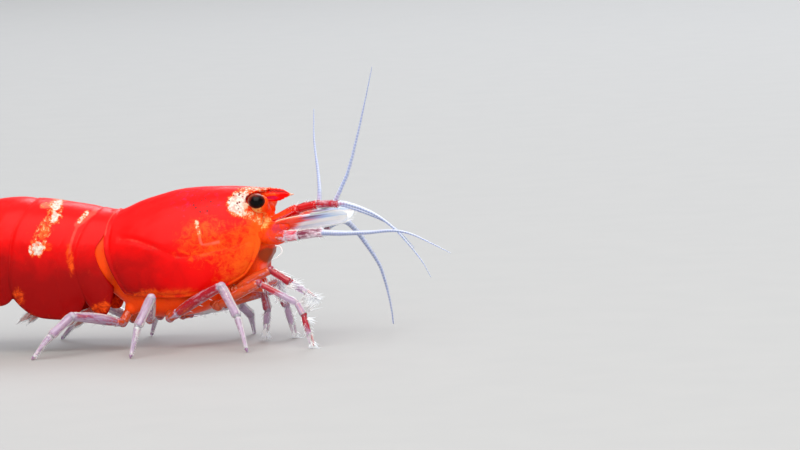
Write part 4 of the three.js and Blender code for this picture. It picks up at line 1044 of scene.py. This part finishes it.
for index, (name, line) in enumerate(legLines.items()):
    root, hip, knee, ankle, toe = onSide(line, sides[name[-1]])
    merusRed, carpusRed, footRed, merusPale = walkingTones[name]
    clawStart = ankle + (toe - ankle) * (1 - walking["clawShare"])
    parts = [lengthOf(root, hip, walking["root"], "root", red=0.55, flesh=(1.1, 0.8), pale=-0.4),
             lengthOf(hip, hip + (knee - hip) * 0.16, walking["root"] * 0.95, "short", red=0.4,
                      flesh=(0.8, 0.4), pale=-0.3),
             lengthOf(hip + (knee - hip) * 0.13, knee, walking["merus"], "long", bow=0.02, red=merusRed,
                      stain=0.25, flesh=(0.35, 0.0), pale=merusPale, fade=0.08),
             lengthOf(knee + (0, 0, 0.02), ankle, walking["carpus"], "shin", red=carpusRed, stain=0.1,
                      pale=0.25, fade=0.1),
             lengthOf(ankle, clawStart, walking["foot"], "foot", bow=0.012, taper=0.72, red=footRed,
                      pale=0.35),
             lengthOf(clawStart, toe + (0.0, 0, 0.012), walking["claw"], "claw", pale=0.1, stain=0.25)]
    for at, size, flesh in ((hip, walking["root"] * 0.85, 0.6), (knee, walking["carpus"] * 0.86, 0.0),
                            (ankle, walking["foot"] * 0.8, 0.0)):
        parts.append(bendBall(at, size, pale=0.45 - flesh, flesh=flesh))
    addPiece(pieceName(name), parts, clearLimb, [name])
    # movable spines under the merus, and fine ones under the foot
    for (start, end), (t0, t1, count, long, off, drawIn) in zip(((hip, knee), (ankle, clawStart)),
                                                                walking["spines"]):
        t = np.linspace(t0, t1, count)
        along = unit(end - start)
        under = unit(np.array([0, 0, -1.0]) + along * along[2])
        roots = between(start, end, t) + under * off * (1 - drawIn * t[:, None])
        addHairs("bristles", roots, under + along * 1.3, long, 0.02,
                 np.stack([(index + t) / 60, np.full(count, 0.5)], -1))
print("walking legs made")

# claw legs: legs 1 and 2, whose small claws end in brushes of hair
clawLines = {
    "leg1_R": [(5, 0.6, 2.4), (5.4, 0.85, 2.5), (6.96, 1, 3.3), (7.81, 1.05, 2.75), (8.93, 1.15, 2)],
    "leg2_R": [(4.3, 0.6, 2), (4.6, 1, 1.8), (6.55, 1.62, 2.8), (8.2, 1.85, 1.95), (8.48, 1.92, 1.45),
               (8.85, 2, 0.0)],
    "leg1_L": [(5, 0.6, 2.4), (5.3, 0.78, 2.4), (6.15, 1, 2.5), (6.3, 1.2, 1.35), (6.15, 1.3, 0.3)],
    "leg2_L": [(4.3, 0.6, 2), (4.6, 1.05, 1.7), (6.6, 1.85, 2.15), (6.98, 2, 1.45), (7.3, 2.15, 0.0)]}
claws = {"root": 0.27, "merus": 0.23, "carpus": 0.215, "palm": 0.165, "finger": 0.075, "open": 0.042,
         # farRed: the far legs are painted less red and paler, painted light lifting them out of the body's
         # shade
         "fingerShare": 0.42, "farRed": 0.45}   # the far legs are less red
for index, (name, line) in enumerate(clawLines.items()):
    way = sides[name[-1]]
    p = onSide(line, way)
    near = 1.0 if way < 0 else claws["farRed"]
    hip, knee, wrist, last = p[1], p[2], p[-2], p[-1] + (0, 0, 0.02)
    palmEnd = wrist + (last - wrist) * (1 - claws["fingerShare"])
    parts = [lengthOf(p[0], hip, claws["root"], "root", red=0.5, flesh=(1.1, 0.9), pale=-0.4),
             lengthOf(hip, knee, claws["merus"], "long", bow=0.02, red=(0.2, 0.5 * near), stain=0.1,
                      flesh=(1.0, 0.75 * near), pale=-0.45 * near)]
    if len(line) == 6:
        parts += [lengthOf(knee, p[3], claws["carpus"] * 0.82, "short", red=(1.5 * near, -0.3)),
                  lengthOf(p[3], wrist, claws["carpus"] * 0.85, "short", red=0.35 * near, pale=0.25),
                  lengthOf(wrist, palmEnd, claws["palm"] * 0.95, "palm", red=(1.3 * near, 0.3 * near))]
    else:
        parts += [lengthOf(knee, wrist, claws["carpus"], "short", red=1.3 * near, stain=0.15, fade=0.06),
                  lengthOf(wrist, palmEnd, claws["palm"], "palm", red=0.1, pale=0.25)]
    apart = unit(np.cross(unit(last - palmEnd), (0, 1, 0.2)))
    for which, thicker in ((-1, 0.95), (1, 1.1)):
        parts.append(lengthOf(palmEnd + apart * which * 0.1, last + apart * which * claws["open"],
                              claws["finger"] * thicker, "finger", red=0.9 * near * (which > 0), pale=0.5))
    for at, size, red, flesh in ((hip, 0.21, 0.0, 0.9), (knee, 0.175, 0.7 * near, 0.0),
                                 (wrist, 0.15, 0.8 * near, 0.0)):
        parts.append(bendBall(at, size, red=red, pale=0.1 - 0.4 * flesh, flesh=flesh))
    addPiece(pieceName(name), parts, clearLimb, [name])
    brush(palmEnd, last, 90, 0.42, claws["finger"], 0.015, 10 + index, along=(0.45, 1.0), lean=0.62)
    brush(wrist, palmEnd, 24, 0.3, claws["palm"], 0.014, 14 + index, lean=0.5)
    brush(knee, wrist, 16, 0.3, claws["carpus"], 0.014, 18 + index, lean=0.45)
print("claw legs made")

# the last pair of mouth legs, long and bristly, that reach down before the mouth
mouthLeg = {"line": [(5.4, 0.33, 2.6), (6.5, 0.34, 2.45), (7.15, 0.35, 2.75), (7.2, 0.37, 1.9)],
            "lengths": ((0.21, "root", 1, 0.9, -0.3), (0.18, "long", 0.9, 0.5, 0.1),
                        (0.14, "foot", 0.35, 0.0, 0.3))}   # half thickness, shape, taper, flesh, pale
for index, (side, way) in enumerate(sides.items()):
    p = onSide(mouthLeg["line"], way)
    parts = [lengthOf(start, end, radius, shape, red=0.15, pale=pale, taper=taper, flesh=flesh)
             for start, end, (radius, shape, taper, flesh, pale) in zip(p[:-1], p[1:], mouthLeg["lengths"])]
    addPiece(f"mouthLeg{side}", parts, clearLimb, [f"maxilliped_{side}"])
    brush(p[2], p[3], 110, 0.34, 0.1, 0.015, 22 + index, lean=0.45)
    brush(p[1], p[2], 60, 0.4, 0.14, 0.015, 24 + index, lean=0.3)
print("mouth legs made")


# feelers and their stalks

ringed = {"pitch": 0.13, "depth": 0.016, "around": 12, "steps": 420}   # each stands for two real rings


def feeler(points, thick, thin, blush):
    # A lash of many short rings: radius from thick to thin, each ring swollen a little at its far end.
    path = through(points, ringed["steps"])
    far = distances(path)
    t = far / far[-1]
    ring = (far / ringed["pitch"]) % 1
    radii = (thick + (thin - thick) * t ** 0.8) * (1 + ringed["depth"] * (ring ** 2 * 3 - 1))
    radii[-3:] *= (0.8, 0.6, 0.3)
    return tube(path, radii, ringed["around"], beside=(0, 1, 0.3), ring=ring, along=t,
                blush=blush * smooth(0.12, 0.0, t))


def makeFeeler():
    # Horny lash: a grey-blue core between two milky lines, which are painted highlights, beaded by its
    # rings, clearer toward its end.
    material, tree, shader, place, field = newMaterial("ringedHornyLash", ("ring", "roundY", "along",
                                                                           "blush"))
    mottle = addNode(tree, "TexNoise", {"Vector": place, "Scale": 1 / 0.5, "Detail": 3})
    ends = addNode(tree, "MapRange", {"Value": field["ring"], 1: 0.35, 2: 0.85})
    # the milky lines along the upper and lower sides are painted highlights; the milky ring ends are the
    # rings' own
    upper = addNode(tree, "Math", {0: field["roundY"]}, operation="ABSOLUTE")
    upper = addNode(tree, "MapRange", {"Value": upper, 1: 0.4, 2: 0.85, 3: 0.0, 4: 0.9})
    milky = addNode(tree, "Math", {0: ends, 1: 0.4, 2: upper}, operation="MULTIPLY_ADD", use_clamp=True)
    colour = rgb("#8490BC")
    for amount, tone in ((mottle, "#A6B4D8"), (field["blush"], "#D0607A"), (milky, "#DAE0F2")):
        colour = addNode(tree, "Mix", {0: amount, 6: colour, 7: rgb(tone)}, out=2, data_type="RGBA")
    clear = addNode(tree, "MapRange", {"Value": field["along"], 1: 0.0, 2: 1.0, 3: 0.97, 4: 0.8})
    setInputs(tree, shader, {"Base Color": colour, "Alpha": clear, "Roughness": 0.35, "IOR": 1.5,
                             "Subsurface Weight": 0.4, "Subsurface Radius": (0.5, 0.6, 1.0),
                             "Subsurface Scale": 0.1 * mm})
    return material


lash = makeFeeler()
feelers = {   # the points that each runs through, its half thickness at both ends, and the blush at its root
    "antennule_outer_R": ([(9.82, -0.85, 6.08), (10.1, -0.88, 6.62), (10.47, -0.9, 7.38),
                           (10.95, -0.92, 8.92),
                           (11.37, -0.95, 10.45), (11.72, -1.0, 11.8)], 0.11, 0.018, 0.3),
    "antennule_inner_R": ([(9.84, -0.86, 6.05), (10.34, -0.95, 6.03), (11.48, -1.1, 5.6),
                           (12.37, -1.2, 4.97),
                           (13.1, -1.3, 4.15), (13.62, -1.4, 3.46), (13.94, -1.45, 2.84)], 0.11, 0.016, 0.9),
    "antennule_outer_L": ([(8.84, 0.78, 5.95), (8.84, 1.0, 6.45), (8.68, 1.7, 7.2), (8.38, 2.7, 8.5),
                           (8.25, 3.6, 9.8)], 0.11, 0.02, 0.3),
    "antennule_inner_L": ([(8.84, 0.78, 5.95), (9.7, 0.74, 5.86), (10.6, 0.98, 5.52), (11.5, 1.75, 4.97),
                           (12.1, 2.2, 4.42), (12.6, 2.5, 3.72)], 0.09, 0.016, 0.5),
    "antenna_R": ([(9.25, -1.4, 4.87), (9.6, -1.62, 4.87), (10.24, -2.0, 4.87), (11.48, -2.6, 4.92),
                   (12.72, -3.2, 5.02), (13.53, -3.6, 4.9), (14.49, -4.0, 4.5), (15.3, -4.2, 4.1)],
                  0.14, 0.014, 0.0),
    "antenna_L": ([(9.05, 1.4, 4.88), (9.45, 1.65, 5.04), (9.75, 1.95, 5.02), (10.15, 2.2, 4.58),
                   (10.62, 2.5, 3.79), (10.99, 2.8, 3.01), (11.13, 2.95, 2.47), (11.25, 3.15, 1.77),
                   (11.32, 3.4, 1.01), (11.34, 3.6, 0.35)], 0.16, 0.03, 0.0)}
for name, shape in feelers.items():
    addPiece(pieceName(name), [feeler(*shape)], lash, [name])

stalks = {   # red, stain and pale of the three lengths of each kind of stalk
    "antennule": {"limb": makeLimb("redBandedChitin", {
        "pale": "#F0B4BC", "tint": "#D0708A", "red": "#D20A0E", "stain": "#A42A44", "flesh": "#FF4A14",
        "white": "#F8E4EA"}, 0.15),
        "shape": "short", "bare": 0.35, "red": (1.2, 1.0, 0.4), "stain": (0.1, 0.3, 0.65),
        "pale": (-0.5, -0.4, -0.25)},
    "antenna": {"limb": makeLimb("rosyChitinOverTissue", {
        "pale": "#F8ECF6", "tint": "#DEB2CC", "red": "#E02C48", "stain": "#863A52", "flesh": "#F0501A",
        "white": "#FFFFFF"}, 0.2),
        "shape": "root", "bare": 1.0, "red": (0.7, 0.5, 0.0), "stain": (0.0, 0.2, (0.78, 0.5)),
        "pale": (-0.2, 0.05, 0.0)}}
stalkLines = {   # the points of each stalk, and the half thickness of its lengths
    "antennule_base_R": ([(6.85, -0.42, 5.2), (8.24, -0.6, 5.84), (9.05, -0.72, 6.0), (10.02, -0.85, 6.02)],
                         (0.29, 0.24, 0.21)),
    "antennule_base_L": ([(6.85, 0.42, 5.2), (7.85, 0.58, 5.7), (8.4, 0.7, 5.86), (8.92, 0.78, 5.93)],
                         (0.29, 0.23, 0.2)),
    "antenna_base_R": ([(7.05, -0.84, 4.74), (7.78, -1.1, 4.73), (8.3, -1.25, 4.77), (9.4, -1.41, 4.88)],
                       (0.37, 0.32, 0.27)),
    "antenna_base_L": ([(7.05, 0.84, 4.74), (7.78, 1.1, 4.73), (8.3, 1.25, 4.78), (9.15, 1.41, 4.9)],
                       (0.37, 0.32, 0.27))}
for index, (name, (line, radii)) in enumerate(stalkLines.items()):
    kind = name.split("_")[0]
    look = stalks[kind]
    p = np.array(line)
    parts = []
    for step, (start, end, radius) in enumerate(zip(p[:-1], p[1:], radii)):
        parts.append(lengthOf(start + (start - end) * 0.05, end, radius, look["shape"], bow=0.02,
                              red=look["red"][step], stain=look["stain"][step], pale=look["pale"][step],
                              flesh=(1.2, 0.3) if step == 0 else 0.0, flat=0.88, taper=0.9, fade=0.06,
                              bare=look["bare"]))
    if kind == "antennule":   # a spine along the outside of the first length
        outward = np.array([0, np.sign(p[0, 1]) * 0.27, 0.0])
        spineLine = between(p[0] + (p[1] - p[0]) * 0.15 + outward * 0.7,
                            p[0] + (p[1] - p[0]) * 0.86 + outward * 1.25, np.linspace(0, 1, 20))
        parts.append(tube(spineLine, np.linspace(0.13, 0.012, 20), 14, flat=0.6, red=0.7, pale=-0.2))
    addPiece(pieceName(name), parts, look["limb"], [name])
    for step, (start, end, radius) in enumerate(zip(p[:-1], p[1:], radii)):
        brush(start, end, 34, 0.22, radius, 0.009, 26 + index * 3 + step, along=(0.7, 1.0), lean=0.5)
print("stalks and feelers made")


# antennal scales: clear leaves with a straight outer edge, a spine at its end, and a fringe of hair

def makeLeaf(name, tones, clearest):
    # Clear chitin leaf, streaked along its length: dark, then bluish, then milky as the streak field grows,
    # with blood near its root.
    material, tree, shader, place, field = newMaterial(name, ("streak", "red", "side", "down"))
    lengthwise = addNode(tree, "CombineXYZ", {0: field["side"], 1: field["down"], 2: 0.0})
    lines = addNode(tree, "TexNoise", {"Vector": lengthwise, "Scale": 1.0, "Detail": 5})
    mixed = addNode(tree, "MapRange", {"Value": lines, 1: 0.3, 2: 0.7, 3: -0.35, 4: 0.35})
    mixed = addNode(tree, "Math", {0: mixed, 1: field["streak"]}, operation="ADD", use_clamp=True)
    streaked = addNode(tree, "ValToRGB", {0: mixed})
    stops = streaked.node.color_ramp.elements
    stops[0].color, stops[1].color = rgb(tones["dark"]), rgb(tones["milky"])
    stops.new(0.45).color = rgb(tones["clear"])
    blush = addNode(tree, "MapRange", {"Value": lines, 1: 0.3, 2: 0.7, 3: 0.3, 4: 1.3})
    blush = addNode(tree, "Math", {0: blush, 1: field["red"]}, operation="MULTIPLY", use_clamp=True)
    colour = addNode(tree, "Mix", {0: blush, 6: streaked, 7: rgb(tones["blush"])}, out=2,
                     data_type="RGBA")
    dense = addNode(tree, "Math", {0: mixed, 1: blush}, operation="MAXIMUM")
    clear = addNode(tree, "MapRange", {"Value": dense, 1: 0.2, 2: 0.8, 3: clearest, 4: 0.97})
    setInputs(tree, shader, {"Base Color": colour, "Alpha": clear, "Roughness": 0.28, "IOR": 1.38,
                             "Coat Weight": 0.25, "Coat Roughness": 0.12, "Subsurface Weight": 1.0,
                             "Subsurface Radius": (1.0, 1.0, 1.1), "Subsurface Scale": 0.32 * mm})
    return material


leafChitin = makeLeaf("clearChitinLeaf", {"dark": "#84607A", "clear": "#B8D0FA", "milky": "#FFFFFF",
                                          "blush": "#FF4A28"}, 0.88)
paddleChitin = makeLeaf("rosyChitinBlade", {"dark": "#C86458", "clear": "#F0A698", "milky": "#FFEEE6",
                                            "blush": "#E02010"}, 0.5)
scaleLeaf = {"long": 3.1, "half": curve((0, 0.34), (0.15, 0.46), (0.55, 0.5), (0.87, 0.48), (1, 0.42)),
             "thick": 0.12, "ribs": [(0.55, 0.1, 0.05), (0.2, 0.08, 0.02), (-0.2, 0.08, 0.02)],
             "crown": 0.03, "at": {"at": (7.28, 1.12, 5.16), "pitch": 7, "spread": 5, "roll": 42},
             "spine": ((1.6, 0.44, 0), (2.72, 0.5, 0)), "hairs": 150, "hair": 0.009}
for index, (side, way) in enumerate(sides.items()):
    long, half, at = (scaleLeaf[key] for key in ("long", "half", "at"))
    blade = leaf(long, half, scaleLeaf["thick"], scaleLeaf["ribs"], scaleLeaf["crown"], at, way, toward=1,
                 endRound=0.08,
                 streak=lambda t, q: (0.5 + 0.8 * bell(q, -0.16, 0.26) + 0.15 * smooth(0.6, 1, t)
                                      - 0.65 * bell(q, 0.56, 0.16) * smooth(0.95, 0.4, t)
                                      + 0.5 * smooth(0.8, 0.95, q)),
                 red=lambda t, q: (1.7 * smooth(0.42 + 0.1 * q, 0.18 + 0.1 * q, t)
                                   + 1.3 * bell(q, 0.24, 0.15) * smooth(0.7, 0.3, t)))
    spineLine = placed(np.linspace(*scaleLeaf["spine"], 16), **at, mirror=way)
    spinePart = tube(spineLine, np.linspace(0.07, 0.008, 16), 10, streak=0.7)
    addPiece(f"antennalScale{side}", [blade, spinePart], leafChitin, [f"antenna_scale_{side}"])
    # hairs down the inner edge and round the end, for run from 0 near the root to 1
    count = scaleLeaf["hairs"]
    run = np.linspace(0, 1, count)
    t = np.clip(0.22 + 0.78 * run, 0, 0.985)
    rootY = -half(t) * np.sqrt(np.clip(1 - smooth(0.84, 1.0, run) ** 2, 0, 1))
    rootY = np.where(run > 0.9, half(t) * np.linspace(-1, 0.6, count) * smooth(0.9, 1, run) + rootY, rootY)
    roots = np.stack([long * t, rootY, 0 * t], -1)
    aims = np.stack([0.75 + 0.3 * run, -1 + 0.9 * run ** 2, 0.05 * dice.normal(size=count)], -1)
    addFringe("bristles", roots, aims, at, way, (0.2 + 0.06 * run) * dice.uniform(0.85, 1.05, count),
              scaleLeaf["hair"], np.stack([(40 + index * 2 + run * 1.5) / 60, np.full(count, 0.4)], -1))
print("antennal scales made")

# swimming legs: two hairy blades on each stem
paddle = {"long": 1.554, "shorter": 0.1184, "thick": 0.1, "ribs": [(0, 0.15, 0.02)], "crown": 0.04,
          "hairs": 34, "hair": 0.011, "blades": ((0.1, 0), (-0.2, 9))}   # inward and lean of both blades
paddles = []
for way in sides.values():
    for number in range(5):
        s, size = stemPlace(number)
        half = curve((0, 0.22 * size), (0.3, 0.32 * size), (0.7, 0.32 * size), (1, 0.16 * size))
        root = byBack(s + 0.2, 0.15 + 0.5 * size, -bellyDrop(s) - 0.62 * size)
        for which, (inward, lean) in enumerate(paddle["blades"]):
            long = (paddle["long"] - paddle["shorter"] * number) * (1 - 0.12 * which)
            at = {"at": root + (0.06 * which, inward * size, 0), "pitch": 30 + 2 * number + lean,
                  "spread": 4 - 8 * which, "roll": 25 - 12 * which}
            paddles.append(leaf(long, half, paddle["thick"], paddle["ribs"], paddle["crown"], at, way,
                                rows=36, around=28, endRound=0.3,
                                streak=lambda t, q: 0.1 + 0.5 * smooth(0.8, 1, np.abs(q)),
                                red=lambda t, q: 1.1 * smooth(0.9, 0.0, t)))
            count = paddle["hairs"]
            run = np.linspace(-1, 1, count)
            t = 1 - 0.85 * np.abs(run) ** 1.5
            rootY = half(t) * np.sign(run) * np.clip(np.abs(run) * 5, 0, 1) * np.where(t > 0.9, 0.6, 1)
            roots = np.stack([-long * t * 0.99, rootY * 0.97, 0 * t], -1)
            aims = np.stack([-np.ones(count), 1.2 * run, 0.1 * dice.normal(size=count)], -1)
            addFringe("bristles", roots, aims, at, way, 0.34 * size * dice.uniform(0.8, 1.05, count),
                      paddle["hair"],
                      np.stack([(45 + number + 5 * which + 0.4 * run) / 60, np.full(count, 0.2)], -1))
addPiece("swimmingBlades", paddles, paddleChitin, swimmerets)
print("swimming legs made")


# hairs, all of horn, solid and tapered

def makeHair():
    # Fine clear horn: white where light gathers, grey-blue along its length, and a faint painted glow that
    # keeps it white in shade.
    material, tree, shader, place, field = newMaterial("fineHornBristle", ("tip",))
    colour = addNode(tree, "Mix", {0: field["tip"], 6: rgb("#FFFFFF"), 7: rgb("#F0F6FF")}, out=2,
                     data_type="RGBA")
    # the emission is a painted glow
    setInputs(tree, shader, {"Base Color": colour, "Roughness": 0.45, "IOR": 1.4, "Sheen Weight": 0.4,
                             "Sheen Roughness": 0.4, "Emission Color": rgb("#F4F8FF"),
                             "Emission Strength": 0.05})
    return material


horn = makeHair()
mouthHair = {"line": [(7.2, -0.98, 4.33), (7.42, -1.0, 4.28), (7.49, -1.0, 4.07), (7.31, -0.95, 3.86),
                      (7.0, -0.85, 3.7)], "thick": 0.03}
longHair = tube(through(mouthHair["line"], 60), np.linspace(1, 0.4, 60) * mouthHair["thick"], 8, tip=0.0)
for key in ("quadUv", "triUv"):
    longHair[key] = longHair[key] * 0.003 + 0.9
fans = [((7.75, -1.2, 2.62), (1, -0.1, 0.1), 26, 0.75), ((8.33, -1.2, 1.95), (1, 0, 0.45), 34, 0.85),
        ((8.54, -1.5, 1.63), (0.85, -0.1, 0.9), 24, 0.75),
        ((8.5, -1.85, 1.25), (0.95, -0.1, -0.1), 30, 0.55),
        ((7.35, -1.0, 3.2), (1, 0, -0.3), 3, 1.25)]   # root, direction, how many and how long
for index, (root, aim, count, long) in enumerate(fans):
    roots = np.array(root) + 0.07 * dice.normal(size=(count, 3))
    aims = unit(np.array(aim, float)) + 0.26 * dice.normal(size=(count, 3)) * (count > 5)
    addHairs("bristles", roots, aims, long * dice.uniform(0.6, 1.05, count), 0.018,
             np.stack([np.full(count, (55 + index) / 60), np.linspace(0.1, 0.9, count)], -1),
             sag=(0, 0, -0.12))
allHairs, fringe = (hairs(*(np.concatenate(column) for column in zip(*hairRows[piece])))
                    for piece in ("bristles", "tailFringe"))
addPiece("bristles", [allHairs, longHair], horn, uvName="OFBake")
addPiece("tailFringe", [fringe], horn, uvName="OFBake")
print("hairs made", len(allHairs["points"]) // 13)
